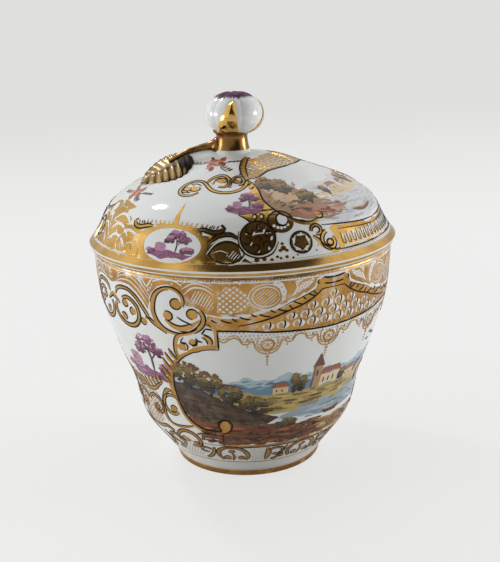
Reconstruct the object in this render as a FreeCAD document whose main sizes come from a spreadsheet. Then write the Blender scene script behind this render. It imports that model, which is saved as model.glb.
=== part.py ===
"""A covered chocolate cup of glazed porcelain, in millimetres.

The cup stands on its foot ring at the origin, with +Z up. Its lid rests on the lip and is kept
in place by a ring that hangs inside the mouth. The lid's knob is a flower bud on a stalk, and
the stalk runs out over the dome as a twig that ends in a leaf. The twig points to -X, and the leaf
turns from it towards -Y, the front.
"""
import FreeCAD, Part
import math
import os
import re
import Sketcher

Vector = FreeCAD.Vector

# Each driving size: its name, its value, what it measures. Heights of the cup's lower wall are
# taken from the table and widths from the foot, those of its upper wall from the lip.
SIZES = [
    ("cup_height", 62.5, "table to lip"),
    ("lip_radius", 40.8, "outside of the lip"),
    ("foot_radius", 20.5, "outside of the foot ring on the table"),
    ("wall", 2.6, "thickness of the cup's wall"),
    ("lip_round", 1.0, "rounding of the lip's two edges"),
    ("foot_band", 2.0, "height of the straight band at the foot"),
    ("foot_spread", 0.4, "how far the band leans out"),
    ("foot_width", 2.7, "width of the foot ring's resting face"),
    ("foot_recess", 2.4, "depth of the hollow under the foot"),
    ("foot_round", 0.5, "rounding of the foot ring's two edges"),
    ("floor_height", 6.2, "table to the inside floor"),
    ("floor_reach", 12.0, "half width of the inside floor's flat"),
    ("heel_out", 5.0, "outer wall, first guide point, out from the foot"),
    ("heel_height", 9.3, "its height"),
    ("belly_out", 10.0, "outer wall, second guide point, out from the foot"),
    ("belly_height", 13.8, "its height"),
    ("waist_out", 10.9, "outer wall, third guide point, out from the foot"),
    ("waist_height", 25.3, "its height"),
    ("flare_in", 6.0, "outer wall, fourth guide point, in from the lip"),
    ("flare_drop", 30.5, "its depth below the lip"),
    ("flank_in", 3.8, "outer wall, fifth guide point, in from the lip"),
    ("flank_drop", 23.3, "its depth below the lip"),
    ("shoulder_in", 1.2, "outer wall, sixth guide point, in from the lip"),
    ("shoulder_drop", 15.7, "its depth below the lip"),
    ("collar_in", 0.3, "outer wall, seventh guide point, in from the lip"),
    ("collar_drop", 7.8, "its depth below the lip"),
    ("lid_overhang", 1.2, "how far the lid's edge passes the lip"),
    ("edge_height", 1.7, "thickness of the lid's edge"),
    ("edge_taper", 0.7, "how far the edge leans in underneath"),
    ("edge_round", 0.5, "rounding of the lid's edge"),
    ("lid_wall", 2.5, "thickness of the dome"),
    ("ring_clearance", 0.6, "play of the ring inside the mouth"),
    ("ring_depth", 5.0, "how far the ring hangs into the cup"),
    ("ring_width", 2.2, "thickness of the ring"),
    ("sweep_in", 3.2, "dome, first guide point, in from the lid's edge"),
    ("sweep_rise", 5.0, "its height above the lip"),
    ("side_in", 4.0, "dome, second guide point, in from the lid's edge"),
    ("side_rise", 10.2, "its height above the lip"),
    ("turn_in", 10.3, "dome, third guide point, in from the lid's edge"),
    ("turn_rise", 15.3, "its height above the lip"),
    ("slope_in", 17.0, "dome, fourth guide point, in from the lid's edge"),
    ("slope_rise", 17.8, "its height above the lip"),
    ("dip_in", 24.4, "dome, fifth guide point, in from the lid's edge"),
    ("dip_rise", 20.4, "its height above the lip"),
    ("crown_in", 32.0, "dome, sixth guide point, in from the lid's edge"),
    ("crown_rise", 23.9, "its height above the lip"),
    ("dome_rise", 24.4, "lip to the dome's top"),
    ("stalk_radius", 4.2, "the stalk at its neck"),
    ("stalk_flare", 2.0, "how far the stalk spreads where it meets the dome"),
    ("stalk_cup", 0.9, "how far the stalk spreads under the bud"),
    ("stalk_offset", 2.1, "axis to the stalk, towards the twig"),
    ("bud_rise", 10.0, "dome's top to the bud's middle"),
    ("bud_offset", 1.4, "axis to the bud, towards the twig"),
    ("bud_radius", 7.8, "outside of the petals"),
    ("bud_half_height", 5.8, "middle of the bud to the petals' tops"),
    ("seam_count", 4, "seams between petals, each right across the bud"),
    ("seam_width", 0.5, "width of a seam"),
    ("seam_depth", 0.35, "depth of a seam"),
    ("sepal_count", 4, "sepals round the bud"),
    ("sepal_angle", -13.0, "first sepal, in degrees from -Y towards +X"),
    ("sepal_thickness", 0.35, "how far a sepal stands out from the petals"),
    ("sepal_half_width", 4.1, "half the width of a sepal at its base"),
    ("sepal_base", 4.9, "middle of the bud down to the sepals' base"),
    ("sepal_belly", 1.2, "middle of the bud up to where a sepal narrows"),
    ("sepal_tip", 4.7, "middle of the bud up to the sepals' tips"),
    ("twig_root", 2.7, "radius of the twig inside the stalk"),
    ("twig_lift", 2.0, "dome up to the twig's middle, at the stalk"),
    ("twig_middle", 1.8, "radius of the twig half way along"),
    ("twig_bend", 1.3, "dome up to the twig's middle, half way along"),
    ("twig_end", 1.3, "radius of the twig at the leaf"),
    ("twig_rest", 1.1, "dome up to the twig's middle, at the leaf"),
    ("leaf_start", 12.5, "axis to the leaf's base"),
    ("leaf_overlap", 3.0, "how far the twig runs on under the leaf"),
    ("leaf_length", 15.0, "base to tip, seen from above"),
    ("leaf_turn", 25.0, "turn of the leaf from the twig's line to the front, in degrees"),
    ("leaf_half_width", 9.0, "half the leaf's width, seen from above"),
    ("leaf_teeth", 7, "teeth along each side of the leaf"),
    ("leaf_notch", 0.9, "depth of the notch between two teeth"),
    ("leaf_height", 2.3, "how far the leaf's edges stand above the dome"),
    ("leaf_root", 1.2, "how far the leaf reaches into the dome's wall"),
    ("leaf_curl", 17.0, "radius of the trough along the leaf"),
    ("leaf_slope", 20.0, "fall of the trough towards the tip, in degrees"),
    ("leaf_thickness", 1.2, "the leaf above the dome, along its middle"),
]

doc = FreeCAD.newDocument("chocolate_cup")
sheet = doc.addObject("Spreadsheet::Sheet", "Sizes")
for row, (alias, value, meaning) in enumerate(SIZES, start=1):
    sheet.set(f"A{row}", meaning)
    sheet.set(f"B{row}", str(value))
    sheet.setAlias(f"B{row}", alias)
doc.recompute()

NAMES = [alias for alias, value, meaning in SIZES]


def formula(text):
    """A formula of the document, from one written with the sizes' plain names."""
    return re.sub(r"[a-z]\w*", lambda word: f"Sizes.{word[0]}" if word[0] in NAMES else word[0], text)


def size(text):
    """The present value of a formula, in millimetres or degrees."""
    return float(sheet.evalExpression(formula(text)))


def bind(thing, prop, text):
    """Tie a property of an object to a formula."""
    thing.setExpression(prop, formula(text))


def origin_plane(body, role):
    """One of the planes through a body's own origin."""
    return next(plane for plane in body.Origin.OriginFeatures if plane.Role == role)


def pin(sketch, geometry, point, across, up):
    """Hold a point of a sketch at two formulas. A formula of 0 puts it on the axis."""
    for direction, text, axis in (("DistanceX", across, -2), ("DistanceY", up, -1)):
        if text == "0":
            sketch.addConstraint(Sketcher.Constraint("PointOnObject", geometry, point, axis))
        else:
            rule = sketch.addConstraint(Sketcher.Constraint(direction, geometry, point, size(text)))
            bind(sketch, f"Constraints[{rule}]", text)


def draw_line(sketch, points):
    """A straight run, held at its start."""
    line = sketch.addGeometry(Part.LineSegment(*[Vector(size(x), size(y), 0) for x, y in points]))
    pin(sketch, line, 1, *points[0])
    return line


def draw_curve(sketch, points):
    """A smooth run that leans towards its guide points, held at all of them but the last."""
    places = [Vector(size(x), size(y), 0) for x, y in points]
    shape = Part.BSplineCurve()
    shape.buildFromPoles(places, False, 3)
    curve = sketch.addGeometry(shape)
    for number, place in enumerate(places):
        guide = sketch.addGeometry(Part.Circle(place, Vector(0, 0, 1), 1.0), True)
        sketch.addConstraint(Sketcher.Constraint(
            "InternalAlignment:Sketcher::BSplineControlPoint", guide, 3, curve, number))
        sketch.addConstraint(Sketcher.Constraint("Weight", guide, 1.0))
        if number < len(places) - 1:
            pin(sketch, guide, 3, *points[number])
    return curve


def draw_outline(body, name, role, runs):
    """A closed outline: each run starts where the one before ends, straight if it has two points."""
    sketch = body.newObject("Sketcher::SketchObject", name)
    sketch.AttachmentSupport = (origin_plane(body, role), [""])
    sketch.MapMode = "FlatFace"
    drawn = [draw_line(sketch, run) if len(run) == 2 else draw_curve(sketch, run) for run in runs]
    for first, second in zip(drawn, drawn[1:] + drawn[:1]):
        sketch.addConstraint(Sketcher.Constraint("Coincident", first, 2, second, 1))
    return sketch


def new_body(name):
    """An empty body with its own label."""
    body = doc.addObject("PartDesign::Body", name)
    body.Label = name
    return body


def turn(body, name, outline):
    """Turn an outline once round the upright axis."""
    turned = body.newObject("PartDesign::Revolution", name)
    turned.Profile = outline
    turned.ReferenceAxis = (outline, ["V_Axis"])
    turned.Angle = 360
    doc.recompute()
    return turned


def round_edges(body, name, places, radius):
    """Round the circular edges that lie at the given radii and heights."""
    base = body.Tip
    rims = []
    for number, edge in enumerate(base.Shape.Edges, start=1):
        if edge.Degenerated or not isinstance(edge.Curve, Part.Circle):
            continue
        for across, up in places:
            off_radius = abs(edge.Curve.Radius - size(across))
            off_height = abs(edge.Curve.Center.z - size(up))
            if max(off_radius, off_height) < 1e-4:
                rims.append(f"Edge{number}")
    fillet = body.newObject("PartDesign::Fillet", name)
    fillet.Base = (base, rims)
    bind(fillet, "Radius", radius)
    doc.recompute()
    return fillet


# The cup: one thrown wall, closed by a thick floor and standing on a foot ring.
CUP_OUTSIDE = [
    ("foot_radius + foot_spread", "foot_band"),
    ("foot_radius + heel_out", "heel_height"),
    ("foot_radius + belly_out", "belly_height"),
    ("foot_radius + waist_out", "waist_height"),
    ("lip_radius - flare_in", "cup_height - flare_drop"),
    ("lip_radius - flank_in", "cup_height - flank_drop"),
    ("lip_radius - shoulder_in", "cup_height - shoulder_drop"),
    ("lip_radius - collar_in", "cup_height - collar_drop"),
    ("lip_radius", "cup_height"),
]
# The inside follows the outside, one wall thickness in, and turns into the floor at the heel.
CUP_INSIDE = [
    ("lip_radius - wall", "cup_height"),
    ("lip_radius - collar_in - wall", "cup_height - collar_drop"),
    ("lip_radius - shoulder_in - wall", "cup_height - shoulder_drop"),
    ("lip_radius - flank_in - wall", "cup_height - flank_drop"),
    ("lip_radius - flare_in - wall", "cup_height - flare_drop"),
    ("foot_radius + waist_out - wall", "waist_height"),
    ("foot_radius + belly_out - wall", "belly_height + wall / 2"),
    ("foot_radius + heel_out - wall", "heel_height + wall / 2"),
    ("floor_reach", "floor_height"),
    ("0", "floor_height"),
]

cup = new_body("cup")
cup_outline = draw_outline(cup, "cup_section", "XZ_Plane", [
    [("foot_radius - foot_width", "0"), ("foot_radius", "0")],
    [("foot_radius", "0"), ("foot_radius + foot_spread", "foot_band")],
    CUP_OUTSIDE,
    [("lip_radius", "cup_height"), ("lip_radius - wall", "cup_height")],
    CUP_INSIDE,
    [("0", "floor_height"), ("0", "foot_recess")],
    [("0", "foot_recess"), ("foot_radius - foot_width", "foot_recess")],
    [("foot_radius - foot_width", "foot_recess"), ("foot_radius - foot_width", "0")],
])
turn(cup, "cup_wall", cup_outline)
round_edges(cup, "lip_rounding",
            [("lip_radius", "cup_height"), ("lip_radius - wall", "cup_height")], "lip_round")
round_edges(cup, "foot_rounding",
            [("foot_radius", "0"), ("foot_radius - foot_width", "0")], "foot_round")


# The lid's shell: a dome with a thin projecting edge, and the ring that hangs inside the mouth.
# Its own heights start at the bottom of that ring.
def dome_points(lower):
    """Guide points of the dome's outside, from its edge to its top, moved down by a formula."""
    guides = [("sweep_in", "sweep_rise"), ("side_in", "side_rise"), ("turn_in", "turn_rise"),
              ("slope_in", "slope_rise"), ("dip_in", "dip_rise"), ("crown_in", "crown_rise")]
    edge = [("lip_radius + lid_overhang", f"ring_depth + edge_height - ({lower})")]
    middle = [(f"lip_radius + lid_overhang - {inward}", f"ring_depth + {rise} - ({lower})")
              for inward, rise in guides]
    return edge + middle + [("0", f"ring_depth + dome_rise - ({lower})")]


RING_OUTSIDE = "lip_radius - wall - ring_clearance"
RING_INSIDE = "lip_radius - wall - ring_clearance - ring_width"
# Under the dome the shell is one wall lower, and it runs into the ring at the side.
DOME_INSIDE = list(reversed(dome_points("lid_wall")[3:])) + [
    (RING_INSIDE, "ring_depth + side_rise - lid_wall"),
    (RING_INSIDE, "ring_depth + sweep_rise - lid_wall"),
    (RING_INSIDE, "0"),
]

shell = new_body("lid_shell")
shell_outline = draw_outline(shell, "shell_section", "XZ_Plane", [
    [(RING_INSIDE, "0"), (RING_OUTSIDE, "0")],
    [(RING_OUTSIDE, "0"), (RING_OUTSIDE, "ring_depth")],
    [(RING_OUTSIDE, "ring_depth"), ("lip_radius + lid_overhang - edge_taper", "ring_depth")],
    [("lip_radius + lid_overhang - edge_taper", "ring_depth"),
     ("lip_radius + lid_overhang", "ring_depth + edge_height")],
    dome_points("0"),
    [("0", "ring_depth + dome_rise"), ("0", "ring_depth + dome_rise - lid_wall")],
    DOME_INSIDE,
])
turn(shell, "dome", shell_outline)
round_edges(shell, "edge_rounding",
            [("lip_radius + lid_overhang", "ring_depth + edge_height"),
             ("lip_radius + lid_overhang - edge_taper", "ring_depth")], "edge_round")

# The stalk: a short waisted neck between the dome and the bud, a little off the middle.
BUD_MIDDLE = "ring_depth + dome_rise + bud_rise"
STALK_FOOT = "ring_depth + dome_rise - lid_wall / 2"
STALK_TOP = f"{BUD_MIDDLE} - bud_half_height / 2"
stalk = new_body("stalk")
stalk_outline = draw_outline(stalk, "stalk_section", "XZ_Plane", [
    [("0", STALK_FOOT), ("stalk_radius + stalk_flare", STALK_FOOT)],
    [("stalk_radius + stalk_flare", STALK_FOOT),
     ("stalk_radius", "ring_depth + dome_rise"),
     ("stalk_radius", f"{BUD_MIDDLE} - bud_half_height"),
     ("stalk_radius + stalk_cup", STALK_TOP)],
    [("stalk_radius + stalk_cup", STALK_TOP), ("0", STALK_TOP)],
    [("0", STALK_TOP), ("0", STALK_FOOT)],
])
turn(stalk, "neck", stalk_outline)
bind(stalk, "Placement.Base.x", "0 - stalk_offset")


def combine(kind, name, pieces):
    """Join, cut or intersect pieces. The first is the base where the order matters."""
    result = doc.addObject(f"Part::{kind}", name)
    if kind in ("MultiFuse", "MultiCommon"):
        result.Shapes = pieces
    else:
        result.Base, result.Tool = pieces
    return result


# The bud: a flattened ball of petals with shallow seams between them, and pointed sepals on it.
def bud_egg(name, growth):
    """A flattened ball, larger than the bud all round by a formula."""
    egg = doc.addObject("Part::Ellipsoid", name)
    bind(egg, "Radius1", f"bud_half_height + {growth}")
    bind(egg, "Radius2", f"bud_radius + {growth}")
    bind(egg, "Radius3", f"bud_radius + {growth}")
    bind(egg, "Placement.Base.x", "0 - bud_offset")
    bind(egg, "Placement.Base.z", BUD_MIDDLE)
    return egg


def around_bud(name, shape, count, span):
    """Copies of a shape, spread evenly over an angle round the bud's upright axis."""
    place = Vector(-size("bud_offset"), 0, size(BUD_MIDDLE))
    copies = []
    for number in range(count):
        copied = doc.addObject("Part::Feature", f"{name}_{number + 1}")
        copied.Shape = shape
        turned = FreeCAD.Rotation(Vector(0, 0, 1), size("sepal_angle") + number * span / count)
        copied.Placement = FreeCAD.Placement(place, turned)
        copies.append(copied)
    return combine("MultiFuse", name, copies)


bud_reach = size("bud_radius + bud_half_height")
seam_sheet = Part.makeBox(2 * bud_reach, size("seam_width"), 2 * bud_reach,
                          Vector(-bud_reach, -size("seam_width / 2"), -bud_reach))
seam_sheets = around_bud("seam_sheets", seam_sheet, int(size("seam_count")), 180)
seams = combine("Cut", "seams", [seam_sheets, bud_egg("bud_core", "0 - seam_depth")])
petals = combine("Cut", "petals", [bud_egg("bud_ball", "0"), seams])

sepal_points = [Vector(side * size(across), 0, size(up)) for side, across, up in [
    (-1, "sepal_half_width", "0 - sepal_base"), (1, "sepal_half_width", "0 - sepal_base"),
    (1, "sepal_half_width * 3 / 4", "sepal_belly"), (0, "sepal_half_width", "sepal_tip"),
    (-1, "sepal_half_width * 3 / 4", "sepal_belly"), (-1, "sepal_half_width", "0 - sepal_base")]]
sepal_wedge = Part.Face(Part.makePolygon(sepal_points)).extrude(Vector(0, -bud_reach, 0))
sepal_wedges = around_bud("sepal_wedges", sepal_wedge, int(size("sepal_count")), 360)
sepals = combine("MultiCommon", "sepals", [sepal_wedges, bud_egg("sepal_cover", "sepal_thickness")])


# The twig: it leaves the stalk thick and lies down on the dome, thinner towards the leaf.
def dome_height(out):
    """Height of the dome's outside at a distance from the axis."""
    probe = Part.makeLine(Vector(out, 0, 0), Vector(out, 0, size("ring_depth + dome_rise + lid_wall")))
    return probe.common(shell.Shape).BoundBox.ZMax


def twig_section(name, radius, out, lift):
    """One round section of the twig, upright, so far from the axis and above the dome."""
    ring = doc.addObject("Part::Circle", name)
    bind(ring, "Radius", radius)
    place = Vector(-size(out), 0, dome_height(size(out)) + size(lift))
    ring.Placement = FreeCAD.Placement(place, FreeCAD.Rotation(Vector(0, 1, 0), 90))
    return ring


twig = doc.addObject("Part::Loft", "twig")
twig.Sections = [
    twig_section("twig_at_stalk", "twig_root", "stalk_offset", "twig_lift"),
    twig_section("twig_half_way", "twig_middle", "(stalk_offset + leaf_start) / 2", "twig_bend"),
    twig_section("twig_at_leaf", "twig_end", "leaf_start + leaf_overlap", "twig_rest"),
]
twig.Solid = True
twig.Ruled = False

# The leaf: broad and toothed, pressed on the dome, with a trough along its middle.
leaf_layer = new_body("leaf_layer")
layer_top = dome_points("0 - leaf_height")
layer_bottom = dome_points("leaf_root")
layer_outline = draw_outline(leaf_layer, "layer_section", "XZ_Plane", [
    [layer_bottom[0], layer_top[0]],
    layer_top,
    [layer_top[-1], layer_bottom[-1]],
    layer_bottom[::-1],
])
turn(leaf_layer, "layer", layer_outline)


def leaf_side(side):
    """Points along one side of the leaf from base to tip, out at the teeth and in between."""
    steps = 2 * int(size("leaf_teeth"))
    points = []
    for step in range(1, steps):
        along = step / steps
        half_width = size("leaf_half_width") * math.sin(math.pi * along ** 0.85)
        if step % 2 == 0:
            half_width -= size("leaf_notch")
        points.append(Vector(-size("leaf_length") * along, side * half_width, 0))
    return points


leaf_tip = Vector(-size("leaf_length"), 0, 0)
leaf_points = [Vector(0, 0, 0)] + leaf_side(-1) + [leaf_tip] + leaf_side(1)[::-1] + [Vector(0, 0, 0)]
leaf_place = FreeCAD.Placement(Vector(-size("leaf_start"), 0, 0),
                               FreeCAD.Rotation(Vector(0, 0, 1), size("leaf_turn")))
leaf_prism = doc.addObject("Part::Feature", "leaf_prism")
leaf_prism.Shape = Part.Face(Part.makePolygon(leaf_points)).extrude(
    Vector(0, 0, size("ring_depth + dome_rise + leaf_height")))
leaf_prism.Placement = leaf_place
leaf_blank = combine("MultiCommon", "leaf_blank", [leaf_prism, leaf_layer])

slope = math.radians(size("leaf_slope"))
along_leaf = Vector(-math.cos(slope), 0, -math.sin(slope))
out_of_leaf = Vector(-math.sin(slope), 0, math.cos(slope))
trough_start = (Vector(0, 0, dome_height(size("leaf_start")) + size("leaf_thickness"))
                + out_of_leaf * size("leaf_curl") - along_leaf * size("leaf_length / 2"))
trough = doc.addObject("Part::Cylinder", "trough")
bind(trough, "Radius", "leaf_curl")
bind(trough, "Height", "2 * leaf_length")
trough.Placement = leaf_place * FreeCAD.Placement(
    trough_start, FreeCAD.Rotation(Vector(0, 0, 1), along_leaf))
leaf = combine("Cut", "leaf", [leaf_blank, trough])

# The lid as it is fired: one piece of porcelain that rests on the lip.
lid = combine("MultiFuse", "lid", [shell, stalk, petals, sepals, twig, leaf])
bind(lid, "Placement.Base.z", "cup_height - ring_depth")
doc.recompute()

for thing in doc.Objects:
    if "Invalid" in thing.State or "Error" in thing.State:
        raise RuntimeError(f"{thing.Name} could not be made")

os.makedirs("parts", exist_ok=True)
for piece in (cup, lid):
    if piece.Shape.isNull() or not piece.Shape.isValid() or len(piece.Shape.Solids) != 1:
        raise RuntimeError(f"{piece.Label} is not one sound solid")
    piece.Shape.exportStep(f"parts/{piece.Label}.step")
    box = piece.Shape.BoundBox
    print(f"{piece.Label}: {piece.Shape.Volume / 1000:.1f} cm3, "
          f"{box.XLength:.1f} x {box.YLength:.1f} x {box.ZLength:.1f} mm, top at {box.ZMax:.1f}")
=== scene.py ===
import bisect
import math
import random

import bpy
from mathutils import Matrix, Vector
from mathutils.geometry import delaunay_2d_cdt


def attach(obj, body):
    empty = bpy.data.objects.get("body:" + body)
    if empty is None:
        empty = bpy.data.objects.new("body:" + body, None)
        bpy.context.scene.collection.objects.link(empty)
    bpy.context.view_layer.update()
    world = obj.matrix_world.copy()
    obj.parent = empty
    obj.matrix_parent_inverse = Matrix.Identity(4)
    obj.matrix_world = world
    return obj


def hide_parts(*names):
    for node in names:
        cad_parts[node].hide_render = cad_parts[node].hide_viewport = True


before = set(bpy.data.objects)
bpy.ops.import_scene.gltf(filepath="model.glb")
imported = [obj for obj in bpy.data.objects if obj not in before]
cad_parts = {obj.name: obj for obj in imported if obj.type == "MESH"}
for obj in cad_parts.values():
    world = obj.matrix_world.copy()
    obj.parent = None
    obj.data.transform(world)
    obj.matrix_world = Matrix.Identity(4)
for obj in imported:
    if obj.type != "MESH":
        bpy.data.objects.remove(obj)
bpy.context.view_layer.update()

# The camera stands a forearm's length away and looks down on the lid a little, tilted by a
# degree or two as the hand-held original was. Distances are in metres and angles in degrees.
SEED = 7
CAMERA_BACK = 0.260
CAMERA_UP = 0.1247
LENS = 61.5
LOOK_DOWN = 16.05
LOOK_RIGHT = 0.38
LEAN = -1.6


def aim_camera():
    """Put the camera in place, level first and then leaning by LEAN."""
    down, right, lean = (math.radians(angle) for angle in (LOOK_DOWN, LOOK_RIGHT, LEAN))
    ahead = Vector((math.sin(right) * math.cos(down), math.cos(right) * math.cos(down),
                    -math.sin(down)))
    across = Vector((math.cos(right), -math.sin(right), 0))
    upward = across.cross(ahead)
    leaning_across = across * math.cos(lean) + upward * math.sin(lean)
    leaning_up = upward * math.cos(lean) - across * math.sin(lean)
    lens = bpy.data.cameras.new("camera")
    lens.lens = LENS
    lens.clip_start = 0.01
    camera = bpy.data.objects.new("camera", lens)
    bpy.context.collection.objects.link(camera)
    turned = Matrix((leaning_across, leaning_up, -ahead)).transposed()
    camera.matrix_world = Matrix.Translation((0, -CAMERA_BACK, CAMERA_UP)) @ turned.to_4x4()
    bpy.context.scene.camera = camera


random.seed(SEED)
aim_camera()


# A pale studio: a wide sheet of matt paper on the floor, lit by three soft lamps and an even sky.
# None of it belongs to the cup.
PAPER_COLOUR = (0.80, 0.80, 0.79)
PAPER_FIBRE = (0.815, 0.815, 0.805)
PAPER_FAR = (0.74, 0.74, 0.73)
PAPER_NEAR = (0.90, 0.90, 0.895)
PAPER_EVEN = 0.75
PAPER_HALF_WIDTH = 3
PAPER_FRONT = -1.5
PAPER_BACK = 4


class Value:
    """A shader socket that can be used in sums, so that a material reads as plain arithmetic."""

    def __init__(self, socket):
        self.socket = socket

    @staticmethod
    def feed(socket, item):
        """Link a Value to a socket, or set the socket to a plain number or colour."""
        if isinstance(item, Value):
            socket.id_data.links.new(item.socket, socket)
        else:
            socket.default_value = item

    @staticmethod
    def node(tree, kind, settings=None, inputs=None, output=0):
        """A new node: its settings first, then its sockets. Gives the named or numbered output."""
        made = tree.nodes.new(kind)
        for name, setting in (settings or {}).items():
            setattr(made, name, setting)
        for name, item in (inputs or {}).items():
            Value.feed(made.inputs[name], item)
        return Value(made.outputs[output])

    @staticmethod
    def axes(tree, output):
        """The three parts of a coordinate, each a Value."""
        place = Value.node(tree, "ShaderNodeTexCoord", output=output)
        parts = Value.node(tree, "ShaderNodeSeparateXYZ", None, {"Vector": place})
        return [Value(part) for part in parts.socket.node.outputs]

    def sum(self, operation, *others):
        tree = self.socket.id_data
        return Value.node(tree, "ShaderNodeMath", {"operation": operation},
                          dict(enumerate((self,) + others)))

    def __add__(self, other):
        return self.sum("ADD", other)

    def __radd__(self, other):
        return self.sum("ADD", other)

    def __sub__(self, other):
        return self.sum("SUBTRACT", other)

    def __rsub__(self, other):
        return (self * -1).sum("ADD", other)

    def __mul__(self, other):
        return self.sum("MULTIPLY", other)

    def __rmul__(self, other):
        return self.sum("MULTIPLY", other)

    def smooth(self, low, high):
        """0 below low, 1 above high, and an even slope between."""
        tree = self.socket.id_data
        return Value.node(tree, "ShaderNodeMapRange", {"interpolation_type": "SMOOTHSTEP"},
                          {"Value": self, "From Min": low, "From Max": high})

    def mixed(self, first, second):
        """The first colour where this value is 0 and the second where it is 1."""
        tree = self.socket.id_data
        return Value.node(tree, "ShaderNodeMix", {"data_type": "RGBA"},
                          {0: self, 6: first, 7: second}, output=2)


def new_material(name, **constants):
    """A material, its node tree, its shader and a sampler of noise at a scale per metre."""
    made = bpy.data.materials.new(name)
    made.use_nodes = True
    tree = made.node_tree
    shader = tree.nodes["Principled BSDF"]
    for socket, constant in constants.items():
        shader.inputs[socket.replace("_", " ")].default_value = constant
    place = Value.node(tree, "ShaderNodeTexCoord", output="Object")

    def noise(scale, detail=3, roughness=0.5):
        return Value.node(tree, "ShaderNodeTexNoise", None, {
            "Vector": place, "Scale": scale, "Detail": detail, "Roughness": roughness})

    return made, tree, shader, noise


def bump(tree, height, distance):
    """A normal that follows a height, whose full range stands for a distance in metres."""
    return Value.node(tree, "ShaderNodeBump", None,
                      {"Height": height, "Distance": distance, "Strength": 1})


def mesh_piece(name, vertices, faces, made):
    """An object of a mesh, with its material, linked into the scene."""
    mesh = bpy.data.meshes.new(name)
    mesh.from_pydata(vertices, [], faces)
    mesh.validate()
    mesh.polygons.foreach_set("use_smooth", [True] * len(mesh.polygons))
    mesh.materials.append(made)
    mesh.update()
    piece = bpy.data.objects.new(name, mesh)
    bpy.context.collection.objects.link(piece)
    return piece


def paper_sweep():
    """The flat sheet of paper. Its far parts, and three quarters of its look near the cup, are its
    own pale tone, so that it stays even to the lens while it keeps the shadow."""
    made, tree, shader, noise = new_material("matt_paper", Roughness=0.9)
    tone = noise(9).smooth(0.3, 0.7)
    Value.feed(shader.inputs["Base Color"], tone.mixed((*PAPER_COLOUR, 1), (*PAPER_FIBRE, 1)))
    across, back, _ = Value.axes(tree, "Object")
    near = (across * 0.12 - back).smooth(-1, 0.1)
    plain = Value.node(tree, "ShaderNodeEmission", None,
                       {"Color": near.mixed((*PAPER_FAR, 1), (*PAPER_NEAR, 1)), "Strength": 1})
    seen = Value.node(tree, "ShaderNodeLightPath", output="Is Camera Ray")
    away = (across * across + back * back).sum("SQRT").smooth(0.05, 0.35)
    share = seen * (away * (1 - PAPER_EVEN) + PAPER_EVEN)
    both = Value.node(tree, "ShaderNodeMixShader", None,
                      {0: share, 1: Value(shader.outputs[0]), 2: plain})
    Value.feed(tree.nodes["Material Output"].inputs["Surface"], both)
    corners = [(side * PAPER_HALF_WIDTH, back, 0) for side, back in (
        (-1, PAPER_FRONT), (1, PAPER_FRONT), (1, PAPER_BACK), (-1, PAPER_BACK))]
    mesh_piece("paper_sweep", corners, [(0, 1, 2, 3)], made)


def soft_lamp(name, place, size, power):
    """A round soft lamp that faces the middle of the cup."""
    light = bpy.data.lights.new(name, "AREA")
    light.shape = "DISK"
    light.size = size
    light.energy = power
    lamp = bpy.data.objects.new(name, light)
    lamp.location = place
    lamp.rotation_euler = (Vector((0, 0, 0.06)) - Vector(place)).to_track_quat("-Z", "Y").to_euler()
    bpy.context.collection.objects.link(lamp)


paper_sweep()
soft_lamp("left_lamp", (-0.80, -0.02, 0.12), 0.34, 2)
soft_lamp("right_lamp", (0.80, 0.06, 0.12), 0.30, 2.8)
soft_lamp("high_lamp", (-0.42, 0.44, 0.72), 0.10, 1.6)


ROOM_TONE = (0.61, 0.59, 0.55)
CEILING_TONE = (0.97, 0.98, 0.99)
WINDOW_TONE = (0.95, 0.96, 0.98)
CORNER_TONE = (0.06, 0.055, 0.05)
WALL_TONE = (0.74, 0.74, 0.73)


def studio_sky():
    """A grey room: brighter above and to either side where its windows are, dark high up in front
    and in a doorway to the right of the lens. The lens itself sees it as a pale wall."""
    sky = bpy.data.worlds.new("studio")
    bpy.context.scene.world = sky
    sky.use_nodes = True
    tree = sky.node_tree
    across, back, up = Value.axes(tree, "Generated")
    sides = across.sum("ABSOLUTE").smooth(0.45, 0.95)
    dark = (back * -0.61 + up * 0.77 + across * 0.17).smooth(0.71, 0.81)
    room = sides.mixed((*ROOM_TONE, 1), (*WINDOW_TONE, 1))
    room = up.smooth(0.15, 0.7).mixed(room, (*CEILING_TONE, 1))
    level = (across * across + back * back).sum("SQRT")
    doorway = (across * 0.62 - back * 0.78).sum("DIVIDE", level).smooth(0.90, 0.96)
    doorway = doorway * up.smooth(-0.2, -0.1)
    room = dark.sum("MAXIMUM", doorway).mixed(room, (*CORNER_TONE, 1))
    seen = Value.node(tree, "ShaderNodeLightPath", output="Is Camera Ray")
    wall = back.smooth(-0.5, 0.4).mixed((*PAPER_NEAR, 1), (*WALL_TONE, 1))
    Value.feed(tree.nodes["Background"].inputs["Color"], seen.mixed(room, wall))


studio_sky()
bpy.context.scene.view_settings.view_transform = "Standard"


# The cup: one wall of white porcelain, thrown and turned, on a foot ring, under a clear glaze
# that is a little cool and very slightly uneven. Guide points are in millimetres: radius, height.
MM = 0.001
ON_AXIS = 1e-6
ROUND_STEPS = 240
WALL_STEPS = 110
INSIDE_STEPS = 60
SKIN_STEPS = 160
FOOT_RADIUS = 20.5
LIP_RADIUS = 40.8
CUP_HEIGHT = 62.5
CUP_WALL = 2.6
LIP_ROUND = 1
FOOT_WIDTH = 2.2
FOOT_EDGE = 0.5
FOOT_HOLLOW = 2.4
CUP_OUTSIDE = [
    (20.9, 2), (25.5, 9.3), (30.5, 13.8), (31.4, 25.3), (34.8, 32), (37, 39.2), (39.6, 46.8),
    (40.5, 54.7), (40.8, 61.5)]
CUP_INSIDE = [
    (38.2, 61.5), (37.9, 54.7), (37, 46.8), (34.4, 39.2), (32.2, 32), (28.8, 25.3), (27.9, 15.1),
    (22.9, 10.6), (12, 6.2), (0, 6.2)]


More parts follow.
